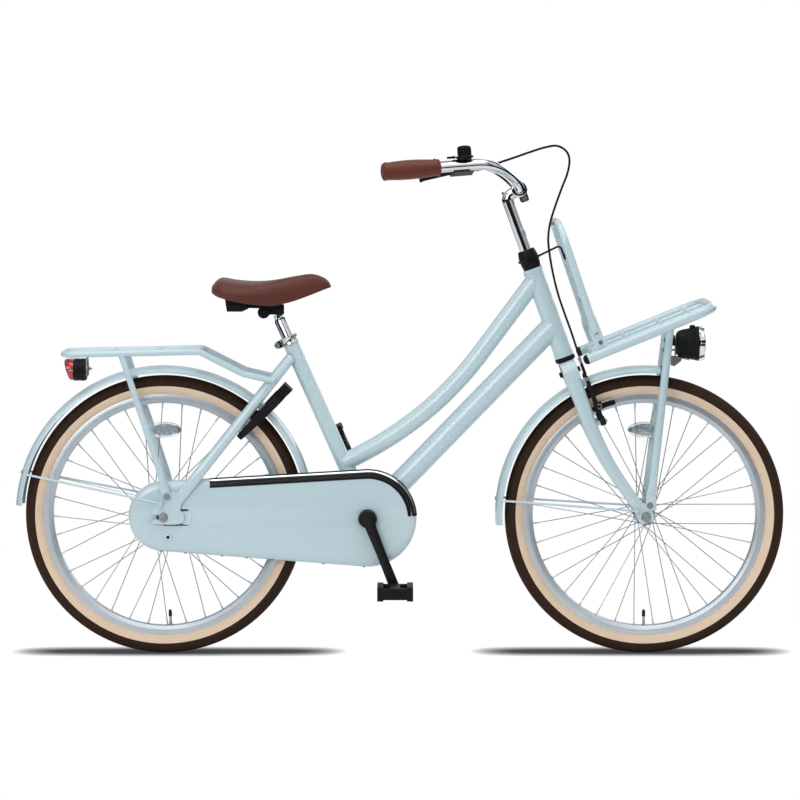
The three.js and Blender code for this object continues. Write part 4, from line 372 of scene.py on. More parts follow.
red_lens = prism_lens("red_lens", tint(206, 30, 34), tint(150, 10, 18), 420.0)
prisms = prism_lens("reflector_prisms", tint(206, 216, 222), tint(120, 135, 146), 330.0, Metallic=0.35)


def clear_plastic():
    finish = Finish("clear_plastic", Transmission_Weight=0.85, IOR=1.46)
    finish.varied(tint(240, 246, 248), tint(226, 235, 240), finish.noise(40.0, 2.0))
    finish.rough(0.04 + finish.noise(120.0, 3.0) * 0.08)
    return finish.material


clear = clear_plastic()
print("finishes:", len(bpy.data.materials))

# %% [markdown]
# Most of a bicycle is bars, turned parts and bent sheet. One small class collects the points and faces
# of such forms and turns them into a piece, so that each cell below only has to say what is real: a
# route and a radius, or a profile and an axis.

# %% Forming tools
weld_distance = 0.002 * mm


def scaled(places):
    """Pairs of numbers in millimetres, turned into metres."""
    return [(first * mm, second * mm) for first, second in places]


def between(first, second, share):
    return first + (second - first) * share


def bent(corners, radius, steps=8):
    """A route through corners that are rounded to a bend radius."""
    route = [corners[0]]
    for before, corner, after in zip(corners, corners[1:], corners[2:]):
        back, ahead = (before - corner).normalized(), (after - corner).normalized()
        half = back.angle(ahead) / 2
        centre = corner + (back + ahead).normalized() * (radius / math.sin(half))
        start = corner + back * (radius / math.tan(half)) - centre
        end = corner + ahead * (radius / math.tan(half)) - centre
        turn = start.rotation_difference(end)
        for step in range(steps + 1):
            part = Quaternion().slerp(turn, step / steps)
            route.append(centre + part @ start)
    return route + [corners[-1]]


def smooth(points, steps=6):
    """A curve through the points."""
    ends = [points[0] * 2 - points[1], *points, points[-1] * 2 - points[-2]]
    route = []
    for a, b, c, d in zip(ends, ends[1:], ends[2:], ends[3:]):
        for step in range(steps):
            t = step / steps
            bend, twist = a * 2 - b * 5 + c * 4 - d, b * 3 - a - c * 3 + d
            route.append((b * 2 + (c - a) * t + bend * t**2 + twist * t**3) * 0.5)
    return route + [points[-1]]


def spread(values, steps=6):
    """Straight steps between sizes, as many as a smooth route has points."""
    sizes = []
    for first, second in zip(values, values[1:]):
        sizes += [between(first, second, step / steps) for step in range(steps)]
    return sizes + [values[-1]]


def directions(route, looped=False):
    """At each point of a route: ahead, and two directions square to it that don't twist."""
    count = len(route)
    frames = []
    side = None
    for i in range(count):
        before = route[i - 1] if looped or i else route[0]
        after = route[(i + 1) % count] if looped or i + 1 < count else route[-1]
        ahead = (after - before).normalized()
        if side is None:
            helper = across if abs(ahead.y) < 0.9 else Vector((1, 0, 0))
            side = ahead.cross(helper).normalized()
        else:
            side = (side - ahead * side.dot(ahead)).normalized()
        frames.append((ahead, side, ahead.cross(side)))
    return frames


class Form:
    """A piece while its points and faces are being collected."""

    def __init__(self):
        self.points = []
        self.faces = []
        self.coats = []
        self.coat = 0

    def face(self, corners):
        self.faces.append(corners)
        self.coats.append(self.coat)

    def skin(self, rings, looped=False, open_rings=False, capped=True):
        """Faces between rings of equally many points, with a cap at each end unless looped."""
        base, count, total = len(self.points), len(rings[0]), len(rings)
        for ring in rings:
            self.points += ring
        for r in range(total if looped else total - 1):
            for i in range(count - 1 if open_rings else count):
                near, far = base + r * count, base + (r + 1) % total * count
                j = (i + 1) % count
                self.face((near + i, near + j, far + j, far + i))
        if capped and not looped:
            self.face(tuple(range(base, base + count)))
            last = base + (total - 1) * count
            self.face(tuple(range(last, last + count)))

    def bar(self, route, radius, sides=24, width=None, looped=False):
        """A bar of round or oval section; each size may be one value or one for each point."""
        count = len(route)
        deep = radius if isinstance(radius, list) else [radius] * count
        wide = width if isinstance(width, list) else [width] * count if width else deep
        rings = []
        for i, (_, side, other) in enumerate(directions(route, looped)):
            turns = [2 * math.pi * k / sides for k in range(sides)]
            rings.append([
                route[i] + side * (deep[i] * math.cos(t)) + other * (wide[i] * math.sin(t))
                for t in turns
            ])
        self.skin(rings, looped)

    def tapered(self, stations, depths, widths, steps=8, sides=24):
        """A smooth bar whose oval section has its own depth and width, in millimetres, at each station."""
        deep, wide = (spread([size * mm for size in sizes], steps) for sizes in (depths, widths))
        self.bar(smooth(stations, steps), deep, sides, wide)

    def turned(self, profile, base, axis, sides=64):
        """A profile of (radius, distance) turned about an axis; it closes on itself or on the axis."""
        axis = axis.normalized()
        helper = across if abs(axis.y) < 0.9 else Vector((1, 0, 0))
        first = axis.cross(helper).normalized()
        second = axis.cross(first)
        rings = []
        for k in range(sides):
            t = 2 * math.pi * k / sides
            outward = first * math.cos(t) + second * math.sin(t)
            rings.append([base + outward * radius + axis * place for radius, place in profile])
        on_axis = profile[0][0] == 0 and profile[-1][0] == 0
        self.skin(rings, looped=True, open_rings=on_axis)

    def plate(self, outline, low, high, place):
        """A flat outline between two levels; place turns (x, y, z) of the outline into a real place."""
        self.skin([[place(x, level, z) for x, z in outline] for level in sorted((low, high))])

    def block(self, x, y, z, place):
        """A square block between pairs of sizes along the three directions of a place."""
        self.plate([(x[0], z[0]), (x[1], z[0]), (x[1], z[1]), (x[0], z[1])], y[0], y[1], place)

    def ready(self, name, coats, body, *nodes, slot=None, bevel=0.0, sharp=38.0):
        """The finished piece; the slot argument is not used."""
        mesh = bpy.data.meshes.new(name)
        mesh.from_pydata(self.points, [], self.faces)
        mesh.polygons.foreach_set("material_index", self.coats)
        return dress(mesh, name, coats, body, nodes, bevel, sharp)


def dress(mesh, name, coats, body, nodes, bevel, sharp):
    """Cleans a mesh, rounds its edges and sets it on its body in place of the plain solids."""
    work = bmesh.new()
    work.from_mesh(mesh)
    bmesh.ops.remove_doubles(work, verts=work.verts, dist=weld_distance)
    bmesh.ops.dissolve_degenerate(work, edges=work.edges, dist=weld_distance)
    bmesh.ops.recalc_face_normals(work, faces=work.faces)
    work.to_mesh(mesh)
    work.free()
    mesh.shade_smooth()
    mesh.set_sharp_from_angle(angle=math.radians(sharp))
    piece = bpy.data.objects.new(name, mesh)
    bpy.context.scene.collection.objects.link(piece)
    for coat in coats:
        mesh.materials.append(coat)
    if bevel:
        edge = piece.modifiers.new("edge", "BEVEL")
        edge.width = bevel
        edge.segments = 2
        edge.limit_method = "ANGLE"
        edge.angle_limit = math.radians(sharp)
        edge.harden_normals = True
    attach(piece, body)
    if nodes:
        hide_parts(*nodes)
    return piece


def polish(node, coat, body, bevel=0.4 * mm, sharp=48.0):
    """A copy of a plain solid with joined corners, rounded edges and smooth curves."""
    mesh = frame["nodes"][node].data.copy()
    work = bmesh.new()
    work.from_mesh(mesh)
    bmesh.ops.remove_doubles(work, verts=work.verts, dist=0.02 * mm)
    bmesh.ops.dissolve_limit(
        work, angle_limit=math.radians(1.0), verts=work.verts, edges=work.edges
    )
    bmesh.ops.triangulate(work, faces=[face for face in work.faces if len(face.verts) > 4])
    work.to_mesh(mesh)
    work.free()
    mesh.materials.clear()
    if "custom_normal" in mesh.attributes:
        mesh.attributes.remove(mesh.attributes["custom_normal"])
    return dress(mesh, node + "_finished", [coat], body, [node], bevel, sharp)


print("tools ready")

# %% [markdown]
# A wheel is built round its axle as it is in a factory: a tyre on a hollow rim, and thirty-six steel
# spokes that leave the hub's two flanges at a tangent and cross each other three times. The tyre is one
# turned profile. Its tread is pressed into the same skin: where a groove runs, the radius is smaller.

# %% Tyre
tread_edge = 277.2 * mm
tyre_outline = [
    (258.4, 10.9), (261.4, 13.4), (264.5, 16.6), (270.0, 20.3), (277.7, 23.2), (284.0, 23.3),
    (290.5, 20.7), (295.6, 15.6), (298.9, 8.9), (300.3, 0.0),
]
tread_pitch = 2 * math.pi / 84
steps_in_pitch = 6
groove_depth = 1.1 * mm
line_cut = (4.2 * mm, 6.2 * mm)
slant_cut = (7 * mm, 19 * mm)
cut_slant = 2.4
cut_share = 0.3


def tyre_section():
    half = smooth([Vector(place) * mm for place in tyre_outline], 4)
    return half + [Vector((p.x, -p.y)) for p in reversed(half[:-1])]


def round_outline(turn):
    """The direction away from the axle at a turn."""
    return Vector((math.cos(turn), 0, math.sin(turn)))


def groove(turn, side):
    """How deep the tread is cut at a place: two lines round the tyre and slanting cuts beside them."""
    width = abs(side)
    if line_cut[0] < width < line_cut[1]:
        return groove_depth
    if slant_cut[0] < width < slant_cut[1]:
        slant = turn + math.copysign(1, side) * width * cut_slant
        if (slant / tread_pitch) % 1 < cut_share:
            return groove_depth
    return 0.0


def tyre(name, axle, body):
    form = Form()
    section = tyre_section()
    turns = round(2 * math.pi / tread_pitch) * steps_in_pitch
    rings = []
    for k in range(turns):
        turn = 2 * math.pi * k / turns
        outward = round_outline(turn)
        rings.append([axle + outward * (p.x - groove(turn, p.y)) + across * p.y for p in section])
    form.skin(rings, looped=True)
    for index in range(len(form.faces)):
        near, far = section[index % len(section)], section[(index + 1) % len(section)]
        form.coats[index] = 0 if (near.x + far.x) / 2 > tread_edge else 1
    return form.ready(name + "_tyre_fine", [tread, cream], body, name + "_tyre", sharp=60)


wheels = [("rear", rear_axle, "rear_wheel"), ("front", front_axle, "front_wheel")]
for name, axle, body in wheels:
    tyre(name, axle, body)
print("tyre section points:", len(tyre_section()))

# %% [markdown]
# The rim is drawn aluminium: a box with a rounded inner face and a flat wall on each side, where the
# brake pads rub. It is turned from a closed profile. A valve with its black cap stands in it
# between two spokes.

# %% Rims and valves
rim_outline = [
    (240.0, 0.0), (240.1, 5.6), (241.2, 8.4), (244.5, 10.8), (248.0, 12.6), (249.0, 13.3), (259.6, 13.5),
    (260.5, 13.1), (260.5, 12.2), (258.6, 11.6), (256.4, 11.2), (254.2, 6.0), (253.8, 0.0),
]
spoke_count = 36
spoke_pitch = 2 * math.pi / spoke_count
rear_phase = math.radians(46) % spoke_pitch
valve_turns = {"rear": math.radians(-87.3), "front": math.radians(-90)}


def rim(name, axle, body):
    form = Form()
    half = scaled(rim_outline)
    form.turned(half + [(r, -y) for r, y in reversed(half[1:-1])], axle, across, 180)
    return form.ready(name + "_rim_fine", [alloy], body, name + "_rim", sharp=30)


def valve(name, axle, body):
    form = Form()
    inward = -round_outline(valve_turns[name])
    base = axle - inward * 241 * mm
    stem = [(0, 0), (4.2, 0), (4.2, 2), (3.1, 2.6), (3.1, 9), (2.6, 9.4), (2.6, 20), (0, 20)]
    cap = [(0, 19), (3.6, 19), (3.6, 30), (2.6, 32), (2.2, 34), (0, 34)]
    form.turned(scaled(stem), base, inward, 16)
    form.coat = 1
    form.turned(scaled(cap), base, inward, 16)
    return form.ready(name + "_valve", [steel, black], body, sharp=30)


for name, axle, body in wheels:
    rim(name, axle, body)
    valve(name, axle, body)

# %% [markdown]
# Spokes alternate between the flanges, and in each flange they lean forwards and backwards by turns. Each
# has a bent head behind the flange, and is screwed into a nipple at the rim. One loop places them all.

# %% Hubs and spokes
spoke_lead = spoke_pitch * 6
spoke_radius = 1.0 * mm
nipple = [(0, 0), (2.3, 0), (2.3, 2.5), (1.8, 3.2), (1.7, 12), (1.1, 13), (0, 13)]


def lace(form, axle, hole_radius, flange, phase):
    """Thirty-six spokes from the flanges' holes to the rim, each with its head and nipple."""
    for k in range(spoke_count):
        side = 1 if k % 2 == 0 else -1
        lean = 1 if k // 2 % 2 == 0 else -1
        at_rim = (k + 0.5) * spoke_pitch + phase
        at_hub = at_rim + lean * spoke_lead
        hole = axle + round_outline(at_hub) * hole_radius + across * (side * flange)
        start = hole + across * (side * lean * 2.0 * mm)
        end = axle + round_outline(at_rim) * (240.5 * mm) + across * (side * 1.5 * mm)
        head = hole - across * (side * lean * 2.6 * mm)
        form.coat = 0
        form.bar(bent([head, start, end], 1.6 * mm, 2), spoke_radius, 8)
        form.bar([head, head + across * (side * lean * 0.8 * mm)], 1.9 * mm, 8)
        form.coat = 1
        inward = (start - end).normalized()
        form.turned(scaled(nipple), end, inward, 8)


def hub(name, axle, body, flange_radius, barrel_radius, flange, ends, phase, tube_shares):
    """A turned hub between its two ends, with a flange on each side of the barrel."""
    form = Form()
    form.coat = 1
    thick = 2.8 * mm
    neck = barrel_radius * 0.8
    outer, inner = flange + thick / 2, flange - thick / 2
    bore = 5.4 * mm
    right, left = ends
    rounded, step = 0.6 * mm, 2 * mm
    waist = [(barrel_radius * share, inner * place) for share, place in tube_shares]
    profile = [
        (bore, -right), (neck * 0.86, -right), (neck, -right + step), (neck, -outer - step),
        (neck + step, -outer), (flange_radius - rounded, -outer), (flange_radius, -outer + rounded),
        (flange_radius, -inner - rounded), (flange_radius - rounded, -inner),
        *waist,
        (flange_radius - rounded, inner), (flange_radius, inner + rounded),
        (flange_radius, outer - rounded), (flange_radius - rounded, outer), (neck + step, outer),
        (neck, outer + step), (neck, left - step), (neck * 0.86, left), (bore, left),
    ]
    form.turned(profile, axle, across, 72)
    form.coat = 0
    lace(form, axle, flange_radius - 3 * mm, flange, phase)
    return form.ready(name + "_hub_fine", [steel, alloy], body, name + "_hub_and_spokes", sharp=32)


straight_barrel = [(1.1, -1), (1, -0.86), (1, 0.86), (1.1, 1)]
waisted_barrel = [(1.25, -1), (1.02, -0.8), (0.94, -0.3), (0.94, 0.3), (1.02, 0.8), (1.25, 1)]
hub("rear", rear_axle, "rear_wheel", 33 * mm, 26 * mm, 23 * mm, (30.7 * mm, 43.6 * mm), rear_phase,
    straight_barrel)
hub("front", front_axle, "front_wheel", 22 * mm, 12 * mm, 31 * mm, (40 * mm, 40 * mm), 0.0,
    waisted_barrel)

# %% [markdown]
# The reflector is an oval clear case clipped between the spokes, thickest round its middle, with a raised
# field of prisms on each face.

# %% Reflectors
def reflector(name, body):
    form = Form()
    low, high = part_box(name + "_reflector")
    centre = (low + high) / 2
    half = (high.y - low.y) / 2
    long, tall = (high.x - low.x) / 2, (high.z - low.z) / 2

    def oval(share, y, shrink=0.0):
        turns = [2 * math.pi * k / 64 for k in range(64)]
        wide, high_half = long * share - shrink, tall * share - shrink
        return [centre + Vector((wide * math.cos(t), y, high_half * math.sin(t))) for t in turns]

    face = half * 0.92
    form.skin([oval(0.9, -face), oval(0.97, -face * 0.9), oval(1, -half * 0.55), oval(1, half * 0.55),
               oval(0.97, face * 0.9), oval(0.9, face)])
    form.coat = 1
    for way in (-1, 1):
        form.skin([oval(0.74, way * face * 0.9), oval(0.74, way * half * 0.97), oval(0.7, way * half)])
    return form.ready(name + "_reflector_fine", [clear, prisms], body, name + "_reflector", sharp=35)


for name, _, body in wheels:
    reflector(name, body)

# %% [markdown]
# The mudguards are steel strip rolled to a crowned section, with the edges turned down. One section is
# carried round the wheel. Each has a wire stay that passes under it, and the front one ends in
# a black rubber tip.

# %% Mudguards and stays
guard_radius = 321 * mm
guard_half = 30 * mm
guard_skirt = 15 * mm
guard_wall = 1.5 * mm
guard_crown = [(-1, 1), (-0.93, 0.62), (-0.72, 0.27), (-0.3, 0.03), (0, 0), (0.3, 0.03), (0.72, 0.27),
               (0.93, 0.62), (1, 1)]


def guard_section(grow=0.0):
    """The crowned strip as a closed outline; it may be grown a little on all sides."""
    crown = smooth([Vector(place) for place in guard_crown], 5)
    top, half = guard_radius + grow, guard_half + grow
    wall = guard_wall + 2 * grow
    outer = [(top - guard_skirt * p.y, p.x * half) for p in crown]
    inner = [(top - wall - (guard_skirt - wall) * p.y - wall * p.y * 0.2, p.x * (half - wall))
             for p in reversed(crown)]
    return outer + inner


def mudguard(name, node, axle, body, start, end, coat, grow=0.0):
    """The section carried round the wheel between two turns, in degrees from straight ahead."""
    form = Form()
    degrees_in_step = 1.6
    steps = max(3, round((end - start) / degrees_in_step))
    section = guard_section(grow)
    rings = []
    for k in range(steps + 1):
        outward = round_outline(math.radians(between(start, end, k / steps)))
        rings.append([axle + outward * radius + across * side for radius, side in section])
    form.skin(rings)
    return form.ready(name, [coat], body, node, sharp=50, bevel=0.3 * mm)


mudguard("rear_guard", "rear_mudguard", rear_axle, "frame", 16.2, 176.3, paint)
mudguard("front_guard", "front_mudguard", front_axle, "steering", 84.0, 184.0, paint)
mudguard("guard_tip", "front_mudguard_tip", front_axle, "steering", 80.8, 84.0, black, 0.7 * mm)

bolt_head = [(0, 0), (4, 0), (3.6, 2), (2, 3), (0, 3.2)]


def guard_stay(name, node, axle, body, eye, turn):
    """A wire from one eye beside the axle, under the mudguard at a turn, to the other eye."""
    form = Form()
    crossing = 309.75 * mm
    side = guard_half + 5.5 * mm
    far = round_outline(turn) * crossing
    corners = [
        axle + Vector((eye.x, -eye.y, eye.z)), axle + far - across * side,
        axle + far + across * side, axle + eye,
    ]
    form.bar(bent(corners, 5.5 * mm, 5), 2.4 * mm, 12)
    for way in (-1, 1):
        foot = axle + Vector((eye.x, way * eye.y, eye.z))
        form.bar([foot - across * 2.2 * mm, foot + across * 2.2 * mm], 5.4 * mm, 20)
        form.bar([foot + across * (way * 2 * mm), foot + across * (way * 5.5 * mm)], 4.2 * mm, 6)
    form.coat = 1
    for way in (-1, 1):
        tip = axle + round_outline(turn) * (guard_radius - 1 * mm) + across * (way * 12 * mm)
        form.turned(scaled(bolt_head), tip, round_outline(turn), 14)
    return form.ready(name, [paint, steel], body, node, sharp=40)


rear_eye = Vector((-4.5, 69.3, 29.7)) * mm
front_eye = Vector((-19.8, 58.7, 12.6)) * mm
guard_stay("rear_guard_stay", "rear_mudguard_stay", rear_axle, "frame", rear_eye, math.radians(163.3))
guard_stay("front_guard_stay", "front_mudguard_stay", front_axle, "steering", front_eye,
           math.radians(174))
print("wheels and mudguards made")

# %% [markdown]
# The frame is brazed from round steel tubes. Each tube is a swept bar, and the long one that bends from
# the head to the seat tube is the mark of this low-step frame. Where two tubes meet there is a fillet of
# filler metal, found here by running lines along the joining tube until they reach the other one.

# %% Frame tubes
def steering_place(distance):
    return at_steering(0, 0, distance)


def meeting(start, direction, line_point, line_direction, radius):
    """Where a line first comes within a radius of a tube's axis, or None if it misses."""
    offset = start - line_point
    a = direction - line_direction * direction.dot(line_direction)
    b = offset - line_direction * offset.dot(line_direction)
    square, cross, rest = a.dot(a), 2 * a.dot(b), b.dot(b) - radius**2
    root = cross**2 - 4 * square * rest
    if root < 0 or square < 1e-9:
        return None
    return start + direction * ((-cross - math.sqrt(root)) / (2 * square))


def fillet(form, start, direction, radius, line_point, line_direction, main_radius, size=2.6 * mm):
    """A bead of filler round the place where one tube meets another."""
    square = Vector((0, 0, 1)) if abs(direction.y) > 0.9 else across
    helper = direction.cross(square).normalized()
    other = direction.cross(helper)
    loop = []
    for k in range(64):
        turn = 2 * math.pi * k / 64
        edge = start + helper * (radius * math.cos(turn)) + other * (radius * math.sin(turn))
        place = meeting(edge, direction, line_point, line_direction, main_radius)
        if place is None:
            return
        loop.append(place)
    form.bar(loop, size, 10, looped=True)


head_tube = 20 * mm
top_tube = 19.5 * mm
down_tube = 24.5 * mm
seat_tube = 16.7 * mm
bracket_shell = 21 * mm
head_low, head_high = steering_place(378.8 * mm), steering_place(580 * mm)
seat_line = up_seat(126 * mm)
head_line = steering_place(557 * mm)
head_slope, seat_slope = math.radians(53.4), math.radians(27.5)
head_way = Vector((-math.cos(head_slope), 0, -math.sin(head_slope)))
seat_way = Vector((math.cos(seat_slope), 0, math.sin(seat_slope)))
top_bend = 740 * mm


def top_tube_route():
    """The two straight runs of the long tube meet in a corner, which is bent as widely as they allow."""
    gap = seat_line - head_line
    turn = head_way.x * seat_way.z - head_way.z * seat_way.x
    corner = head_line + head_way * ((gap.x * seat_way.z - gap.z * seat_way.x) / turn)
    shortest = min((corner - head_line).length, (corner - seat_line).length)
    limit = shortest * 0.85 / math.tan((head_slope - seat_slope) / 2)
    return bent([head_line, corner, seat_line], min(top_bend, limit), 28)


stay_top = up_seat(375 * mm) - Vector((12.525 * mm, 0, 0))
stay_foot = rear_axle + Vector((25.2, 0, 27)) * mm
stay_shares = [0, 0.1, 0.22, 0.6, 0.8, 0.9, 1]
stay_spreads = [16.7, 35.7, 47, 54.75, 64.3, 62.5, 62.5]
stay_widths = [9, 9, 9, 8.5, 4.8, 2.8, 2.8]


def seat_stay(form, side):
    stations = []
    for share, out in zip(stay_shares, stay_spreads):
        place = between(stay_top, stay_foot, share)
        place.y = side * out * mm
        stations.append(place)
    form.tapered(stations, [between(11.5, 10.6, k / 6) for k in range(7)], stay_widths)


chain_stay_places = [(-8.4, 23.1), (-111, 37.6), (-359, 45.2), (-385, 47), (-401, 59.8), (-413, 62.5)]
chain_stay_depths = [10.2, 8.5, 8.5, 9.4, 11, 11]
chain_stay_widths = [8.5, 7.7, 7.7, 5.1, 3.4, 2.6]


def chain_stay(form, side):
    stations = []
    for x, y in chain_stay_places:
        height = crank_centre.z if x > -9 else rear_axle.z
        stations.append(Vector((crank_centre.x + x * mm, side * y * mm, height)))
    form.tapered(stations, chain_stay_depths, chain_stay_widths)


dropout_outline = [
    (-22.5, 5.1), (0, 5.1), (3.6, 3.6), (5.4, 0), (3.6, -3.6), (0, -5.1), (-22.5, -5.1), (-22.5, -14.4),
    (13.5, -16.2), (36.9, -14.9), (43.7, -9), (45, 0), (43.7, 9), (36.9, 14.9), (38.7, 31.5),
    (35.1, 51.8), (18, 56.3), (-5.4, 47.3), (-18, 27.9), (-24.8, 13.5),
]


def main_frame():
    form = Form()
    route = top_tube_route()
    form.bar([head_low, head_high], head_tube, 48)
    form.bar(route, top_tube, 40)
    down_start = steering_place(449.5 * mm)
    form.bar([down_start, crank_centre], down_tube, 48)
    form.bar([crank_centre, up_seat(424 * mm)], seat_tube, 40)
    shell = 34 * mm
    form.bar([crank_centre - across * shell, crank_centre + across * shell], bracket_shell, 48)
    for end, rise in ((head_low, 1), (head_high, -1)):
        form.bar([end, end + steer_up * (rise * 7 * mm)], 21.2 * mm, 48)
    bridge = between(stay_top, stay_foot, 0.22)
    form.bar([bridge - across * 47 * mm, bridge + across * 47 * mm], 5.8 * mm, 20)
    for side in (-1, 1):
        seat_stay(form, side)
        chain_stay(form, side)
        form.plate(scaled(dropout_outline), side * 60 * mm, side * 65 * mm, at_rear)
    down = (crank_centre - down_start).normalized()
    front_way = (route[0] - route[1]).normalized()
    rear_way = (route[-1] - route[-2]).normalized()
    fillet(form, crank_centre, -down, down_tube, head_low, steer_up, head_tube)
    fillet(form, route[6], front_way, top_tube, head_low, steer_up, head_tube)
    fillet(form, route[-6], rear_way, top_tube, crank_centre, seat_up, seat_tube)
    fillet(form, up_seat(200 * mm), -seat_up, seat_tube, crank_centre, across, bracket_shell)
    fillet(form, down_start, down, down_tube, crank_centre, across, bracket_shell)
    lug_x, low = -159.1 * mm, 22.1 * mm
    lug = [(lug_x - 13.6 * mm, -4 * mm), (lug_x + 13.6 * mm, -4 * mm), (lug_x + 10 * mm, -low),
           (lug_x - 10 * mm, -low)]
    form.plate(lug, 23 * mm, 34.5 * mm, lambda x, y, z: Vector((x, y, crank_centre.z + z)))
    return form


stand_pin = Vector(joints["kickstand_swing"]["pos_m"])
stand_axis = -Vector(joints["kickstand_swing"]["axis"])
frame_form = main_frame()
frame_form.bar([stand_pin - stand_axis * 22 * mm, stand_pin - stand_axis * 6.8 * mm], 7.6 * mm, 20)
frame_form.ready("frame_tubes", [paint], "frame", "main_frame", sharp=34)

# %% [markdown]
# The fork has a flat-topped crown that holds two oval blades. They run straight, then sweep forwards to
# flattened ends with slots for the axle.

# %% Fork
crown_top = 368.6 * mm
crown_low = crown_top - 41 * mm
crown_half = 56 * mm
crown_shoulder = 25.4 * mm
blade_shares = [
    (0, 0, 1), (0, 0.02, 0.8), (0.03, 0.08, 0.6), (0.2, 0.25, 0.4), (0.55, 0.6, 0.2), (0.9, 1, 0.05),
]
blade_widths = [11.5, 11.5, 11.5, 9.8, 7.5, 3]
fork_end = [
    (-1, -0.9), (-0.34, -0.9), (-0.34, 0), (-0.2, 0.3), (0.2, 0.3), (0.34, 0), (0.34, -0.9),
    (1, -0.9), (1.15, 0), (1.1, 1.3), (0.4, 1.9), (-0.9, 1.9), (-1.3, 0.6),
]


def crown_arch():
    arc = [math.pi / 2 * k / 10 for k in range(11)]
    centre_y, centre_z = crown_half - crown_shoulder, crown_top - crown_shoulder
    right = [(centre_y + crown_shoulder * math.cos(t), centre_z + crown_shoulder * math.sin(t)) for t in arc]
    low_half, step = 33 * mm, 6.5 * mm
    under = [(low_half, crown_low), (low_half - step * 0.3, crown_low + step * 0.7),
             (low_half - step, crown_low + step)]
    right = [(crown_half, crown_low), *right]
    left = [(-y, z) for y, z in reversed(right)]
    return [*right, *left, *[(-y, z) for y, z in under], *reversed(under)]


def fork():
    form = Form()
    rings = []
    arch = crown_arch()
    for ahead, shrink in ((-17, 2.6), (-14.5, 0.6), (-12, 0), (12, 0), (14.5, 0.6), (17, 2.6)):
        middle = (crown_top + crown_low) / 2
        rings.append([
            at_steering(ahead * mm, y * (1 - shrink * mm / crown_half),
                        middle + (z - middle) * (1 - shrink * mm / (crown_top - middle)))
            for y, z in arch
        ])
    form.skin(rings)
    top = 369 * mm - 41 * 0.7 * mm
    for side in (-1, 1):
        stations = [
            at_steering(fork_rake * a, side * between(44.5 * mm, 52.5 * mm, b), top * c)
            for a, b, c in blade_shares
        ]
        form.tapered(stations, [between(17, 11.9, k / 5) for k in range(6)], blade_widths, 10, 32)
        size = 15.3 * mm
        form.plate([(fork_rake + x * size, z * size) for x, z in fork_end], side * 50 * mm,
                   side * 55 * mm, at_steering)
        stud = Vector(joints["right_arm_close" if side < 0 else "left_arm_close"]["pos_m"])
        form.bar([stud - steer_ahead * 28 * mm, stud + steer_ahead * 7 * mm], 4.8 * mm, 20)
    return form


fork_form = fork()
fork_form.coat = 1
bolt_up = crown_top - 25.4 * mm
for way in (-1, 1):
    start = at_steering(way * 17 * mm, 0, bolt_up)
    fork_form.bar([start, start + steer_ahead * (way * 2 * mm)], 8 * mm, 24)
    fork_form.bar([start, start + steer_ahead * (way * 6.5 * mm)], 5.6 * mm, 6)
fork_form.ready("fork_fine", [paint, black_steel], "steering", "fork", sharp=34)
print("frame and fork made")

# %% [markdown]
# Both carriers are bent from steel tube and welded. The front platform is a loop with cross bars, on two
# legs whose feet are pressed flat beside the axle. Black caps close the ends of its tube. The backrest is
# a second loop of thinner tube, bolted to the platform through its flattened ends.

# %% Front carrier
deck_start = 42 * mm
deck_length = 284 * mm
deck_up = 367 * mm
deck_half = 140 * mm
deck_tilt = math.radians(2.2)
carrier_tube = 10.5 * mm
long_bar_side = 49 * mm


def on_deck(ahead, side, up):
    """A place on the front platform, whose front is raised a little."""
    over, rise = ahead - deck_start, up - deck_up
    lean, lift = math.cos(deck_tilt), math.sin(deck_tilt)
    return at_steering(deck_start + over * lean - rise * lift, side, deck_up + over * lift + rise * lean)


def cross_bar(form, place, radius, half, rail_way, rail_radius, bead=1.3 * mm):
    """A bar between two rails, with a bead of weld where it meets each of them."""
    form.bar([place - across * half, place + across * half], radius, 18)
    for side in (-1, 1):
        rail = place + across * (side * half)
        fillet(form, place, across * side, radius, rail, rail_way, rail_radius, bead)


def bolt(form, place, way, radius, tall=3.2 * mm):
    """A hexagon head on its washer."""
    way = way.normalized()
    form.bar([place, place + way * (tall * 0.3)], radius * 1.5, 20)
    form.bar([place + way * (tall * 0.3), place + way * tall], radius, 6)


def socket_bolt(form, place, way, radius, tall=2.6 * mm):
    """A round head with a deep hollow for the key."""
    key, depth = radius * 0.62, tall * 0.2
    head = [(0, 0), (radius * 1.05, 0), (radius, tall * 0.7), (radius * 0.85, tall)]
    form.turned([*head, (key, tall), (key, depth), (0, depth)], place, way, 18)


deck_way = (on_deck(deck_length, 0, deck_up) - on_deck(0, 0, deck_up)).normalized()
leg_foot = Vector((62.2, 57.1, 18.9)) * mm
leg_depths = [10.5, 11, 8.9, 8.6, 8.6]
leg_widths = [1.8, 1.8, 7.35, 8.6, 8.6]
cap_profile = [(0, -2), (9, -2), (9, 0), (10.6, 0), (10.8, 1.2), (10.1, 5), (8, 8.4), (4.5, 10), (0, 10.5)]


def carrier_leg(form, side):
    foot = at_steering(leg_foot.x, side * leg_foot.y, leg_foot.z)
    top = on_deck(deck_start + deck_length * 0.69, side * long_bar_side, deck_up)
    end = at_steering(leg_foot.x, side * leg_foot.y, leg_foot.z - 9.9 * mm)
    stations = [end, between(foot, top, 0.05), between(foot, top, 0.14), between(foot, top, 0.5), top]
    for place, out in zip(stations[1:4], (0, 3.15 * mm, 0)):
        place.y = side * (leg_foot.y + out)
    form.tapered(stations, leg_depths, leg_widths)


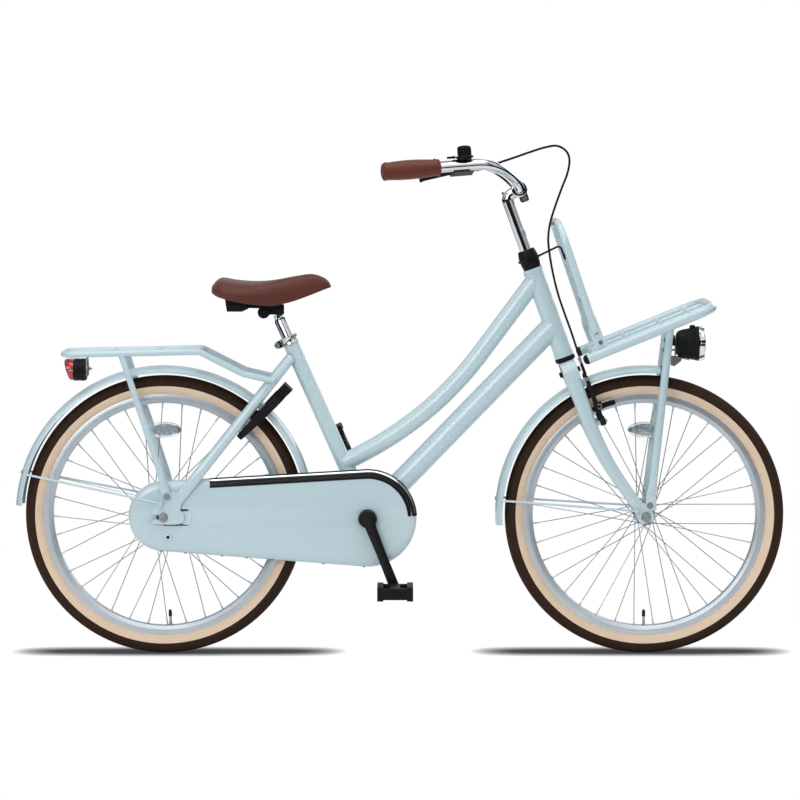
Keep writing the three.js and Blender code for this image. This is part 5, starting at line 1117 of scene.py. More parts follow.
def front_carrier():
    form = Form()
    start, end = deck_start, deck_start + deck_length
    corners = [
        on_deck(start, -deck_half, deck_up), on_deck(end, -deck_half, deck_up),
        on_deck(end, deck_half, deck_up), on_deck(start, deck_half, deck_up),
    ]
    form.bar(bent(corners, 44.8 * mm, 12), carrier_tube, 28)
    for share in (0.06, 0.34, 0.62, 0.84):
        place = on_deck(start + deck_length * share, 0, deck_up)
        cross_bar(form, place, 6.5 * mm, deck_half, deck_way, carrier_tube)
    for side in (-1, 1):
        first = on_deck(start + deck_length * 0.06, side * long_bar_side, deck_up)
        form.bar([first, on_deck(end, side * long_bar_side, deck_up)], 5.8 * mm, 18)
        carrier_leg(form, side)
    foot = at_steering(leg_foot.x, 0, leg_foot.z)
    top = on_deck(deck_start + deck_length * 0.69, 0, deck_up)
    tie = between(foot, top, 0.84)
    form.bar([tie - across * 51.1 * mm, tie + across * 51.1 * mm], 5.25 * mm, 18)
    form.coat = 1
    for corner in (corners[0], corners[-1]):
        form.turned(scaled(cap_profile), corner, -deck_way, 28)
    form.coat = 2
    for side in (-1, 1):
        head = at_steering(leg_foot.x, side * (leg_foot.y + 1.8 * mm), leg_foot.z + 1 * mm)
        bolt(form, head, across * side, 4.6 * mm)
    return form.ready("front_carrier_fine", [paint, black, steel], "steering", "front_carrier", sharp=36)


backrest_tube = 8.4 * mm
backrest_foot = 77.7 * mm
backrest_low = 377.8 * mm
backrest_rise = 276.2 * mm
backrest_lean = 14.7 * mm


def backrest_place(share, side):
    return on_deck(backrest_foot + backrest_lean * share, side, backrest_low + backrest_rise * share)


def backrest():
    form = Form()
    low, foot, lean = backrest_low, backrest_foot, backrest_lean
    high = low + backrest_rise
    corners = [
        on_deck(foot, -deck_half, low + 34.4 * mm), on_deck(foot + lean, -deck_half, high),
        on_deck(foot + lean, deck_half, high), on_deck(foot, deck_half, low + 34.4 * mm),
    ]
    form.bar(bent(corners, 47.6 * mm, 14), backrest_tube, 28)
    for side in (-1, 1):
        places = [(foot, low), (foot, low + 40.2 * mm), (foot + lean * 0.3, low + 68.9 * mm)]
        stations = [on_deck(ahead, side * deck_half, up) for ahead, up in places]
        form.tapered(stations, [12.6, 11.8, 7.6], [2.7, 2.7, 7.6], 10, 28)
    rail_way = (backrest_place(1, 0) - backrest_place(0, 0)).normalized()
    for share in (0.36, 0.74):
        cross_bar(form, backrest_place(share, 0), 5.2 * mm, deck_half, rail_way, backrest_tube)
    form.coat = 1
    for side in (-1, 1):
        for up in (12 * mm, 36 * mm):
            head = on_deck(foot + 1.5 * mm, side * (deck_half + 2.2 * mm), low + up)
            socket_bolt(form, head, across * side, 4.4 * mm, 3 * mm)
    return form.ready("backrest_fine", [paint, steel], "steering", "front_carrier_backrest", sharp=36)


front_carrier()
backrest()

# %% [markdown]
# The rear carrier is one long loop of tube that is hooked to the seat stays at its front, with two thin
# slats, three cross ties and a leg on each side whose foot is bolted to the frame's end plate. A steel
# tab hangs from its back end to hold the lamp.

# %% Rear carrier
def rear_carrier():
    form = Form()
    tube_radius = 7 * mm
    half = [(237.2, 60.6, 291.9), (171, 62, 307.3), (78.75, 62, 354.3), (-211.5, 62, 348)]
    right = [at_rear(x * mm, -y * mm, z * mm) for x, y, z in half]
    left = [at_rear(x * mm, y * mm, z * mm) for x, y, z in reversed(half)]
    form.bar(bent(right + left, 21 * mm, 10), tube_radius, 24)
    back, front = (at_rear(x * mm, 0, z * mm) for x, z in ((-211.5, 348), (78.75, 354.3)))
    rail_way = (front - back).normalized()
    for side in (-1, 1):
        offset = across * (side * 22.3 * mm)
        form.bar([back + offset, front + offset], 3.85 * mm, 16)
        stations = [(-87.75, 62, 348), (-9, 71.6, 108), (2.7, 68.45, 63), (9, 67.75, 42.75)]
        places = [at_rear(x * mm, side * y * mm, z * mm) for x, y, z in stations]
        form.tapered(places, [7, 7, 9.1, 9.8], [7, 5.95, 2.8, 2.45], 10)
    for share in (0.36, 0.7, 1):
        cross_bar(form, between(back, front, share), 4.9 * mm, 62 * mm, rail_way, tube_radius, 1.1 * mm)
    form.coat = 1
    tab = [(-20, 298.5), (20, 298.5), (24.8, 304), (24.8, 320), (12, 338), (12, 350.1), (-12, 350.1),
           (-12, 338), (-24.8, 320), (-24.8, 304)]
    form.plate(scaled(tab), -167.55 * mm, -164.85 * mm, lambda y, x, z: at_rear(x, y, z))
    stud = at_rear(-164.85 * mm, 0, 314 * mm)
    form.bar([stud, stud + Vector((9 * mm, 0, 0))], 2.2 * mm, 12)
    for side in (-1, 1):
        bolt(form, at_rear(8.2 * mm, side * 70.2 * mm, 45 * mm), across * side, 4.8 * mm, 4.2 * mm)
    bolt(form, stud, Vector((1, 0, 0)), 4.8 * mm, 4 * mm)
    return form.ready("rear_carrier_fine", [paint, steel], "frame", "rear_carrier", sharp=36)


rear_carrier()
print("carriers made")

# %% [markdown]
# The swept handlebar, its stem and the grips. The bar is one chromed tube on a smooth curve, gripped by
# the stem's split barrel. A tall black cap covers the top headset bearing, and a slim ring the lower one.

# %% Stem, handlebar and headset
bar_radius = 11 * mm
clamp_place = (31 * mm, 749.9 * mm)
bar_end = Vector((-228, 285, 884.9)) * mm
grip_way = Vector((-0.924, 0.282, 0.258)).normalized()
grip_length = 120 * mm
grip_start = bar_end - grip_way * grip_length
straight_start = grip_start - grip_way * 81.6 * mm


def swept(a, b, c, d, steps):
    """A curve that leaves a towards b and reaches d from c."""
    route = []
    for step in range(steps + 1):
        t = step / steps
        u = 1 - t
        route.append(a * u**3 + b * (3 * u * u * t) + c * (3 * u * t * t) + d * t**3)
    return route


def half_bar():
    ahead, up = clamp_place
    leave = Vector((ahead, 28 * mm, up))
    bend = Vector((ahead, 125.4 * mm, up + 8.1 * mm))
    return swept(leave, bend, straight_start - grip_way * 60 * mm, straight_start, 24)


def handlebar():
    form = Form()
    half = [*half_bar(), bar_end - grip_way * 3.6 * mm]
    places = [Vector((p.x, -p.y, p.z)) for p in reversed(half)] + half
    form.bar([at_steering(*p) for p in places], bar_radius, 32)
    return form.ready("handlebar_fine", [chrome], "steering", "handlebar", sharp=40)


stem_lug = [(-5.95, -12), (-5.95, -27), (-3, -29.75), (9.75, -29.75), (12.75, -27), (12.75, -12)]


def stem():
    form = Form()
    ahead, up = clamp_place
    centre = at_steering(ahead, 0, up)
    path = bent([at_steering(0, 0, 523.1 * mm), at_steering(0, 0, 741.8 * mm), centre], 11.4 * mm, 12)
    form.bar(path, 12.7 * mm, 36)
    bore, outer, half = 11.2 * mm, 17 * mm, 20 * mm
    rim = 1.4 * mm
    form.turned([
        (bore, -half), (outer - rim, -half), (outer - 0.3 * rim, -half + 0.3 * rim),
        (outer, -half + rim), (outer, half - rim), (outer - 0.3 * rim, half - 0.3 * rim),
        (outer - rim, half), (bore, half),
    ], centre, across, 48)
    for side in (-1, 1):
        form.plate([(ahead + x, up + z) for x, z in scaled(stem_lug)], side * 1.4 * mm, side * 12 * mm,
                   at_steering)
    form.coat = 1
    pinch = at_steering(ahead + 3.4 * mm, 0, up - 22.5 * mm)
    bolt(form, pinch - across * 12 * mm, -across, 4.2 * mm, 4.5 * mm)
    bolt(form, pinch + across * 12 * mm, across, 4.2 * mm, 4.5 * mm)
    wedge = at_steering(-1 * mm, 0, 751 * mm)
    socket_bolt(form, wedge, steer_up, 6.6 * mm, 5 * mm)
    return form.ready("stem_fine", [chrome, steel], "steering", "stem", sharp=36, bevel=0.5 * mm)


cap_rings = [
    (13.1, 0), (18.2, 0), (18.9, 0.8), (20.5, 10.5), (21.1, 17), (21.3, 23.1), (20.6, 31), (18.8, 38.5),
    (17.9, 41.2), (16.8, 42), (13.1, 42),
]
ring_rings = [(17, 0), (20.4, 0), (21.6, 1.6), (22, 4.8), (21.6, 8), (20.4, 9.6), (17, 9.6)]


def headset(name, rings, base_up, body, node):
    form = Form()
    form.turned(scaled(rings), at_steering(0, 0, base_up), steer_up, 56)
    return form.ready(name, [black], body, node, sharp=34)


handlebar()
stem()
headset("headset_cap_fine", cap_rings, 580.3 * mm, "steering", "headset_cap")
headset("headset_ring_fine", ring_rings, 368.9 * mm, "frame", "headset_lower_ring")

# %% [markdown]
# The grips are tubes wrapped in brown grained leather. The wrap is thicker in the middle of the palm and
# is closed by a row of stitches along the underside, with a round seam near each end.

# %% Grips
grip_shape = [
    (11.4, -0.4), (16.6, -0.4), (17.9, 1.0), (17.9, 4.2), (16.5, 5.2), (16.4, 7.2), (17.3, 18), (18.7, 38.4),
    (19.4, 56), (19.5, 72), (18.8, 92), (17.6, 108), (17.4, 113), (18.3, 114.2), (18.4, 117), (17.5, 120.2),
    (14, 122), (0, 122),
]


stitch_count = 23
stitch_pitch = 4.5 * mm


def grip(side):
    form = Form()
    name = "grip_right" if side < 0 else "grip_left"
    start = at_steering(grip_start.x, side * grip_start.y, grip_start.z)
    way = at_steering(grip_way.x, side * grip_way.y, grip_way.z) - at_steering(0, 0, 0)
    outline = smooth([Vector(place) for place in grip_shape[4:13]], 4)
    profile = [(0, -0.4), *grip_shape[:4], *[(p.x, p.y) for p in outline], *grip_shape[13:]]
    form.turned(scaled(profile), start, way, 56)
    under = (-steer_up + way * steer_up.dot(way)).normalized()
    beside = way.cross(under)
    form.coat = 1
    for k in range(stitch_count):
        place = 10 * mm + k * stitch_pitch
        near = min(outline, key=lambda p: abs(p.y * mm - place))
        middle = start + way * place + under * (near.x * mm)
        lift = under * 0.35 * mm
        step = way * 0.8 * mm
        form.bar([middle - beside * 1.6 * mm - lift, middle - beside * 1.1 * mm + lift,
                  middle + beside * 1.1 * mm + lift + step, middle + beside * 1.6 * mm - lift + step],
                 0.42 * mm, 6)
    return form.ready(name + "_fine", [grip_leather, thread], "steering", name, sharp=36)


for side in (-1, 1):
    grip(side)

# %% [markdown]
# The front brake cable is a plastic housing with a wire inside. It leaves the lever through a threaded
# adjuster, hangs in one wide loop ahead of the handlebar and ends at a metal noodle above the brake arm.
# The small ends are separate turned parts.

# %% Brake cable
cable_radius = 2.4 * mm
cable_places = [
    (-40, -203, 822), (-25, -197, 820), (-8, -187, 820), (12, -172, 820), (39, -151, 819), (79, -118, 818),
    (111, -90, 816), (136, -66, 810), (151, -46, 793), (152, -36, 773), (139, -30, 748), (117, -27, 722),
    (92, -26, 692), (68, -26, 660), (52, -27, 628), (43, -28, 592), (36, -29, 550), (32, -31, 510),
    (31, -33, 470), (31, -35, 430), (30, -37, 395), (29, -39, 362), (28, -40, 342),
]


def right_end(x, y, z):
    """A place on the right bar end: x outwards along the bar, z towards the lever."""
    ahead = Vector((grip_way.x, -grip_way.y, grip_way.z))
    inward = Vector((0.1, 0.88, -0.42))
    towards = (inward - ahead * inward.dot(ahead)).normalized()
    beside = towards.cross(ahead)
    origin = Vector((grip_start.x, -grip_start.y, grip_start.z))
    return at_steering(*(origin + ahead * x + beside * y + towards * z))


adjuster = [
    (0, 0), (3.6, 0), (3.6, 2.2), (3.1, 2.6), (3.1, 9), (3.7, 9.4), (3.7, 14), (2.9, 15), (2.5, 22), (0, 22),
]
boot = [
    (0, 0), (2.7, 0), (3.5, 3), (3.1, 6), (3.6, 9), (3.2, 12), (3.7, 15), (3.3, 18), (3.7, 21), (2.9, 26),
    (0, 26),
]
knurl = [(0, 0), (3.2, 0), (3.9, 1), (3.9, 7), (3.2, 8), (3.0, 14), (0, 14)]


def brake_cable():
    form = Form()
    inside = [at_steering(*(Vector(p) * mm)) for p in cable_places]
    start = right_end(-79 * mm, 0, 24.6 * mm)
    end = at_steering(28 * mm, -40.475 * mm, 328.2 * mm)
    route = smooth([start, *inside, end], 8)
    form.bar(route, cable_radius, 14)
    form.coat = 1
    out = (route[3] - route[0]).normalized()
    form.turned(scaled(adjuster), route[0], out, 18)
    down = (route[-1] - route[-9]).normalized()
    low = route[-1]
    form.coat = 0
    form.turned(scaled(boot), low - down * 27 * mm, down, 18)
    form.coat = 1
    form.turned(scaled(knurl), low - down * 42 * mm, down, 18)
    return form.ready("front_brake_cable_fine", [black, steel], "steering", "front_brake_cable", sharp=40)


brake_cable()
print("cockpit made")

# %% [markdown]
# Each brake arm turns on a stud of the fork. The arm is slim and slightly bowed, a curved rubber pad
# stands off it on a threaded post with a bright washer, and a thin spring wire lies against it. The bell
# is a turned cup with ribs that a thumb can grip.

# %% Brake arms and bell
pad_middle = Vector((18, -222.1))
pad_radii = (246.9, 257.6)
washer = [(3.4, 0), (5.9, 0), (5.9, 1), (5.4, 1.5), (3.4, 1.5), (3.4, 0)]


def brake_arm(side, name, node, body):
    form = Form()
    pin = Vector(joints["right_arm_close" if side < 0 else "left_arm_close"]["pos_m"])
    outward = across * side

    def place(ahead, out, high):
        return pin + steer_ahead * (ahead * mm) + outward * (out * mm) + steer_up * (high * mm)

    form.bar([place(-5, 0, 0), place(6.8, 0, 0)], 8.2 * mm, 28)
    stations = [place(0, 0, 2), place(0, 2, 26), place(0, 4.2, 60), place(0, 1.8, 105)]
    form.tapered(stations, [5.6, 5.6, 4.8, 3.8], [6.6, 5.6, 4.4, 3.4])
    form.bar([place(0, -6, 98), place(0, 8, 98)], 4.4 * mm, 20)
    form.bar([place(5, -17, 34), place(5, 6.4, 34)], 4 * mm, 20)
    holder = place(0, 0, 34)
    form.block((-4 * mm, 12 * mm), (-2 * mm, 5.6 * mm), (-8 * mm, 9 * mm),
               lambda x, y, z: holder + steer_ahead * x + outward * y + steer_up * z)
    turns = [math.radians(between(-6.4, 5.2, k / 12)) for k in range(13)]
    near, far = [
        [(pad_middle.x + r * math.sin(t), pad_middle.y + r * math.cos(t)) for t in turns]
        for r in pad_radii
    ]
    form.coat = 2
    form.plate(near + far[::-1], -24.3, -17.5, place)
    form.coat = 0
    spring = [place(-4, 6, 2), place(-6, 9.4, 14), place(-5, 9, 40), place(-1, 7.2, 58)]
    form.bar(smooth(spring, 8), 1 * mm, 8)
    form.coat = 1
    form.turned(scaled(washer), place(5, 6.2, 34), outward, 28)
    bolt(form, place(6.8, 0, 0), steer_ahead, 3.9 * mm, 3.6 * mm)
    bolt(form, place(0, 8, 98), outward, 3 * mm, 2.8 * mm)
    form.coat = 0
    socket_bolt(form, place(5, 6.4, 34), outward, 3.2 * mm, 2.2 * mm)
    return form.ready(name, [black_steel, steel, black], body, node, sharp=32, bevel=0.4 * mm)


bell_cup = [
    (0, 0), (17.6, 0), (18.3, 0.8), (18.3, 3.6), (17.2, 4.6), (14.8, 5.2), (13.0, 7.2), (13.0, 18.6),
    (14.4, 20.2), (14.2, 22.4), (11.5, 25), (6, 26.3), (0, 26.6),
]
bell_ribs = 20
rib_circle = 13.4 * mm


def bell():
    form = Form()
    way = Vector(joints["bell_lever_push"]["axis"])
    if way.z < 0:
        way = -way
    low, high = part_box("bell")
    base = (low + high) / 2 - way * 13.3 * mm
    form.turned(scaled(bell_cup), base, way, 64)
    first = way.cross(across).normalized()
    second = way.cross(first)
    for k in range(bell_ribs):
        turn = 2 * math.pi * k / bell_ribs
        foot = base + (first * math.cos(turn) + second * math.sin(turn)) * rib_circle
        form.bar([foot + way * 6.6 * mm, foot + way * 19.4 * mm], 1.2 * mm, 8)
    return form.ready("bell_fine", [black], "steering", "bell", sharp=32)


brake_arm(-1, "brake_arm_right_fine", "brake_arm_right", "right_brake_arm")
brake_arm(1, "brake_arm_left_fine", "brake_arm_left", "left_brake_arm")
bell()
print("brake arms and bell made")

# %% [markdown]
# The saddle is a moulded foam pad under a tight grained cover. Its outline comes from the picture as
# a table of heights and widths from back to nose. The cover rolls in under the pad, a shallow crease
# runs along each side, and a black base shell closes it from below.

# %% Saddle
saddle_back = -400.4 * mm
saddle_length = 251 * mm
saddle_width = 192 * mm
saddle_floor = 750.25 * mm
saddle_height = 68.5 * mm
saddle_shares = [
    (0, 0.66, 0.41, 0.29), (0.03, 0.8, 0.34, 0.4), (0.08, 0.88, 0.27, 0.47), (0.2, 0.81, 0.16, 0.5),
    (0.34, 0.775, 0.07, 0.47), (0.46, 0.79, 0.01, 0.36), (0.56, 0.84, 0.03, 0.25),
    (0.69, 0.93, 0.14, 0.17), (0.84, 1, 0.34, 0.135), (0.94, 0.89, 0.49, 0.1),
    (0.985, 0.76, 0.55, 0.06), (1, 0.66, 0.57, 0.03),
]
saddle_half = [
    (0.3, 0.12), (0.8, 0.1), (0.93, 0.02), (1, 0.26), (1, 0.42), (0.975, 0.535), (0.945, 0.62), (0.84, 0.77),
    (0.66, 0.89), (0.42, 0.965), (0.16, 0.985), (0, 0.975),
]
saddle_ends = [(0.35, 0.8), (0.65, 0.5), (0.87, 0.2)]


def saddle_section():
    half = smooth([Vector(place) for place in saddle_half], 5)
    return half + [Vector((-p.x, p.y)) for p in reversed(half[:-1])]


def crease(place, share):
    """A shallow line along the side, deepest behind the middle and gone before the nose."""
    near = max(0.0, 1 - abs(place.y - 0.6) / 0.035)
    return near * max(0.0, min(1.0, (0.62 - share) * 4)) * min(1.0, share * 12) * 0.018


def saddle_ring(section, row, shrink=1.0, push=0.0):
    share, top, under, half = row
    middle = (top + under) / 2
    ring = []
    for place in section:
        level = under + (top - under) * place.y
        wide = place.x * (1 - crease(place, share)) * half * saddle_width * shrink
        level = middle + (level - middle) * shrink
        along = saddle_back + saddle_length * share + push
        ring.append(Vector((along, wide, saddle_floor + saddle_height * level)))
    return ring


def saddle_cover():
    form = Form()
    section = saddle_section()
    rows = smooth([Vector(row) for row in saddle_shares], 7)
    back = [saddle_ring(section, rows[0], s, -(1 - p) * 2.4 * mm) for s, p in saddle_ends]
    nose = [saddle_ring(section, rows[-1], s, (1 - p) * 1.4 * mm) for s, p in reversed(saddle_ends)]
    form.skin([*back, *[saddle_ring(section, row) for row in rows], *nose])
    count = len(section)
    for index, face in enumerate(form.faces):
        corner = face[0] % count
        if corner < 6 or corner >= count - 7:
            form.coats[index] = 1
    piece = form.ready("saddle_cover_fine", [saddle_leather, black], "saddle", "saddle_cover", sharp=60)
    swell = piece.modifiers.new("soft", "SUBSURF")
    swell.levels = swell.render_levels = 1
    return piece


saddle_cover()

# %% [markdown]
# The seat post is polished tube with a thinner neck. The clamp round the seat tube is a split band with
# two ears behind it and a bolt through them. Under the saddle run two wire rails, joined at the nose, into
# a moulded bumper at the back, and the clamp that grips them has a washer and a nut at each end.

# %% Seat post, clamp and rails
post_low = 249 * mm
post_profile = [
    (0, 0), (12.4, 0), (13.2, 1), (13.2, 213.2), (12.6, 214.6), (10.9, 216.4), (10.6, 218), (10.6, 226.2),
    (9.8, 226.9), (0, 226.9),
]


def seat_post():
    form = Form()
    form.turned(scaled(post_profile), up_seat(post_low), seat_up, 56)
    return form.ready("seatpost_fine", [chrome], "saddle", "seatpost", sharp=34)


clamp_band = [
    (17, 0), (19.3, 0), (20, 0.7), (20, 3), (19.4, 4), (19.4, 14), (20, 15), (20, 17.3), (19.3, 18),
    (17, 18),
]
clamp_ear = [(18, -8), (25, -8), (30, -5.5), (31.5, 0), (30, 5.5), (25, 8), (18, 8)]


def seat_clamp():
    form = Form()
    form.turned(scaled(clamp_band), up_seat(406 * mm), seat_up, 56)
    middle = up_seat(415 * mm)
    back = seat_up.cross(across).normalized()
    gap, outside = 1.3 * mm, 5.6 * mm
    for side in (-1, 1):
        form.plate(scaled(clamp_ear), side * gap, side * outside,
                   lambda x, y, z: middle + back * x + across * y + seat_up * z)
    form.coat = 1
    pin = middle + back * 27.2 * mm
    form.bar([pin - across * 9 * mm, pin + across * 9 * mm], 3 * mm, 16)
    socket_bolt(form, pin - across * outside, -across, 5.2 * mm, 5.3 * mm)
    bolt(form, pin + across * outside, across, 5.2 * mm, 5.3 * mm)
    return form.ready("seat_clamp_fine", [chrome, steel], "frame", "seat_clamp", sharp=34,
                      bevel=0.4 * mm)


def saddle_place(x, y, z):
    """A place measured from the saddle's back end, its middle and its floor."""
    return Vector((saddle_back + x * mm, y * mm, saddle_floor + z * mm))


rail_radius = 3.5 * mm
rail = [(30, 42, 2), (60, 23, -0.6), (130, 23, -0.6), (152, 19, 10), (176, 11, 23), (214, 4, 34)]
bumper = [(27, 19), (31.5, -10.5), (64, -10.5), (70, -7.5), (77, -4.5), (77, 12), (60, 19)]
bumper_rib = [(34, -7), (37, -8.4), (61, -8.4), (64, -6), (62, 4), (36, 6)]


def saddle_frame():
    form = Form()
    rail_ends = []
    for side in (-1, 1):
        places = [saddle_place(x, side * y, z) for x, y, z in rail]
        rail_ends.append(places[-1])
        form.bar(smooth(places, 8), rail_radius, 16)
    form.bar(rail_ends, rail_radius, 16)
    form.plate(bumper, -59.5, 59.5, saddle_place)
    for y in (-61.2, 59.5):
        form.plate(bumper_rib, y, y + 1.7, saddle_place)
    return form.ready("saddle_frame_fine", [black], "saddle", "saddle_frame", sharp=34,
                      bevel=0.8 * mm)


nut_washer = [(0, 0), (9.6, 0), (9.6, 0.9), (8.8, 1.4), (0, 1.4)]


def clamp_nuts():
    """A washer and a nut at each end of the clamp's toothed barrel."""
    form = Form()
    low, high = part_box("saddle_clamp")
    barrel_radius = 13.2 * mm
    barrel = Vector((low.x + barrel_radius, 0, low.z + barrel_radius))
    for side, end in ((-1, low.y), (1, high.y)):
        start = barrel + across * end
        way = across * side
        form.coat = 1
        form.turned(scaled(nut_washer), start, way, 40)
        form.coat = 0
        bolt(form, start + way * 1.4 * mm, way, 5.4 * mm, 3.6 * mm)
    return form.ready("saddle_clamp_nuts", [black_steel, black], "saddle", sharp=30)


seat_post()
seat_clamp()
saddle_frame()
clamp_nuts()
print("saddle made")

# %% [markdown]
# The chain case is two pressed steel halves that meet in a seam over the chain. Its outline is a belt
# round two circles, the small one at the axle and the large one at the crank. A rounded shoulder is swept
# along this belt, and a flat face with its openings fills the middle.

# %% Chain case
case_centres = [Vector((0, 0)), Vector((436.98, -4)) * mm]
case_radii = [75 * mm, 104.5 * mm]
case_line = case_centres[1] - case_centres[0]
case_slope = math.atan2(case_line.y, case_line.x)
case_opening = math.acos((case_radii[0] - case_radii[1]) / case_line.length)
case_shoulder = [(0, -44.9), (0, -47), (-1.1, -50.6), (-3.9, -53.9), (-8.4, -56.3), (-13, -57.5), (-18, -58)]
tray_shoulder = [(0, -44.2), (0, -36), (-0.8, -33.4), (-2.8, -31.6), (-6, -31)]


def rounding(x, z, radius, start, end, steps):
    turns = [between(start, end, k / steps) for k in range(steps + 1)]
    return [(x + radius * math.cos(t), z + radius * math.sin(t)) for t in turns]


def belt(steps=48):
    """Places on the belt's two arcs, each with the direction that points outwards there."""
    front = [between(-case_opening, case_opening, k / steps) for k in range(steps + 1)]
    rear = [between(case_opening, 2 * math.pi - case_opening, k / steps) for k in range(steps + 1)]
    places = []
    for index, turns in ((1, front), (0, rear)):
        for turn in turns:
            outward = Vector((math.cos(case_slope + turn), math.sin(case_slope + turn)))
            places.append((case_centres[index] + outward * case_radii[index], outward))
    return places


def belt_ring(places, offset, y):
    return [at_rear(p.x + n.x * offset * mm, y * mm, p.y + n.y * offset * mm) for p, n in places]


def filled(form, loops, y, place):
    """A flat face whose first loop is the outline and whose other loops are holes."""
    base = len(form.points)
    for loop in loops:
        form.points += [place(x, y, z) for x, z in loop]
    flat = [[Vector((x, z, 0)) for x, z in loop] for loop in loops]
    for triangle in tessellate_polygon(flat):
        form.face(tuple(base + index for index in triangle))


def case_half(name, node, shoulder, holes, outer_way):
    form = Form()
    places = belt()
    form.skin([belt_ring(places, offset, y) for offset, y in shoulder], capped=False)
    offset, level = shoulder[-1]
    outline = [tuple(p + n * (offset * mm)) for p, n in places]
    filled(form, [outline, *holes], level * mm, at_rear)
    piece = form.ready(name, [paint, black], "frame", node, sharp=36)
    face_way = sum((polygon.normal.y * polygon.area for polygon in piece.data.polygons), 0.0)
    if face_way * outer_way < 0:
        piece.data.flip_normals()
    wall = piece.modifiers.new("wall", "SOLIDIFY")
    wall.thickness = 1.4 * mm
    wall.offset = -1
    edge = piece.modifiers.new("edge", "BEVEL")
    edge.width = 0.35 * mm
    edge.segments = 2
    edge.limit_method = "ANGLE"
    edge.angle_limit = math.radians(50)
    return piece


crank_hole = rounding(*case_centres[1], 20.3 * mm, 0, 2 * math.pi * 47 / 48, 47)
axle_notch = scaled(
    [(0, -18.9), *rounding(0, 0, 14.4, -math.pi / 2, -3 * math.pi / 2, 20), (0, 16.4)]
    + rounding(50, 12.4, 4, math.pi / 2, 0, 5) + rounding(50, -14.9, 4, 0, -math.pi / 2, 5)
)
hub_hole = rounding(0, 0, 36 * mm, 0, 2 * math.pi * 47 / 48, 47)
bracket_hole_radius = 21.3
slot_low, slot_high = math.asin(-10.8 / bracket_hole_radius), math.asin(14.8 / bracket_hole_radius)
stay_slot = scaled(
    [(90, -14.8), *rounding(436.98, -4, bracket_hole_radius, -math.pi - slot_low, math.pi - slot_high, 30),
     (90, 10.8)]
)
case_half("chain_case_outer_fine", "chain_case_outer", case_shoulder, [crank_hole, axle_notch], -1)
case_half("chain_case_inner_fine", "chain_case_inner", tray_shoulder, [hub_hole, stay_slot], 1)

# %% [markdown]
# On the case sit a painted boss with the screw that holds its rear cap, a painted tongue over the end of
# the axle's notch, small black clips along the lower seam, and a ribbed strip over the upper edge and
# round the front, bright with two black lines.

# %% Trim, boss and clips
def case_boss():
    form = Form()
    tongue = [
        (40, -14.5), (42, -16.5), (58, -16.5), (60, -14.5), (60, 10.5), (58, 12.5), (42, 12.5), (40, 10.5),
    ]
    form.plate(scaled(tongue), -59.3 * mm, -57.8 * mm, at_rear)
    base = at_rear(9.9 * mm, -57.9 * mm, -43.5 * mm)
    boss = [(0, 0), (10.6, 0), (9.9, 1.3), (8.6, 1.9), (4.6, 1.9), (4.2, 1.2), (0, 1.2)]
    form.turned(scaled(boss), base, -across, 40)
    form.coat = 1
    socket_bolt(form, base - across * 1.1 * mm, -across, 3.3 * mm, 0.8 * mm)
    return form.ready("case_screw_boss", [paint, black_steel], "frame", sharp=30)


def case_clips():
    form = Form()
    low = [(p, n) for p, n in belt() if n.y < -0.9]
    start = min(low, key=lambda item: abs(item[0].x - 0.02))
    end = min(low, key=lambda item: abs(item[0].x - 0.4))
    for share in (0.0, 0.12, 0.3, 0.42, 0.55, 0.8, 1.0):
        place, outward = between(start[0], end[0], share), start[1]
        along = Vector((-outward.y, outward.x))
        hook = scaled([(-3.2, -0.4), (3.2, -0.4), (2.8, 0.9), (-2.8, 0.9)])
        corners = [tuple(place + along * x + outward * z) for x, z in hook]
        form.plate(corners, -49.5 * mm, -39.5 * mm, at_rear)
    return form.ready("case_clips", [black_steel], "frame", sharp=30, bevel=0.3 * mm)


strip_outline = [
    (1.2, -44.8), (1.2, -47.3), (0.1, -51.3), (-3.0, -55.0), (-7.9, -57.5), (-12.8, -58.7), (-18.6, -59.2),
]
strip_lines = [(0.0, 0.4), (0.53, 0.7), (0.78, 1.0)]
strip_ribs = 7


def strip_section():
    """The strip's ribbed outside, and its inside a little below."""
    outer = smooth([Vector(place) for place in strip_outline], 8)
    outside, inside = [], []
    for i, place in enumerate(outer):
        ahead = outer[min(i + 1, len(outer) - 1)] - outer[max(i - 1, 0)]
        normal = Vector((-ahead.y, ahead.x)).normalized()
        if normal.x - normal.y < 0:
            normal = -normal
        rib = math.sin(i / (len(outer) - 1) * strip_ribs * math.pi)
        outside.append(place + normal * (0.3 * rib - 0.3))
        inside.append(place - normal * 0.95)
    return outside + inside[::-1]


def case_trim():
    form = Form()
    start_x = 99 * mm
    upper = [(p, n) for p, n in belt(96) if n.y > 0 or p.x > case_centres[1].x]
    front = [(p, n) for p, n in upper if p.x > case_centres[1].x * 0.9 and p.y > 0]
    front = sorted(front, key=lambda item: math.atan2(item[1].y, item[1].x), reverse=True)
    first, outward = front[0]
    slope = Vector((-outward.y, outward.x))
    start = first + slope * ((start_x - first.x) / slope.x)
    route = [(between(start, first, k / 12), outward) for k in range(12)] + front
    section = strip_section()
    count = len(section)
    form.skin([
        [at_rear(p.x + way.x * s.x * mm, s.y * mm, p.y + way.y * s.x * mm) for s in section]
        for p, way in route
    ])
    for index, face in enumerate(form.faces):
        share = min(corner % count for corner in face) / (count / 2 - 1)
        form.coats[index] = int(any(low <= share < high for low, high in strip_lines))
    return form.ready("chain_case_trim_fine", [chrome, black_steel], "frame", "chain_case_trim", sharp=50)


case_boss()
case_clips()
case_trim()

# %% [markdown]
# The headlamp has a black tapering body on a drilled steel foot, a bright bezel with a black catch on each
# side, a polished bowl with its bulb, and a clear domed glass. The rear lamp is a black box with
# a slanting red lens, which a clear line divides.

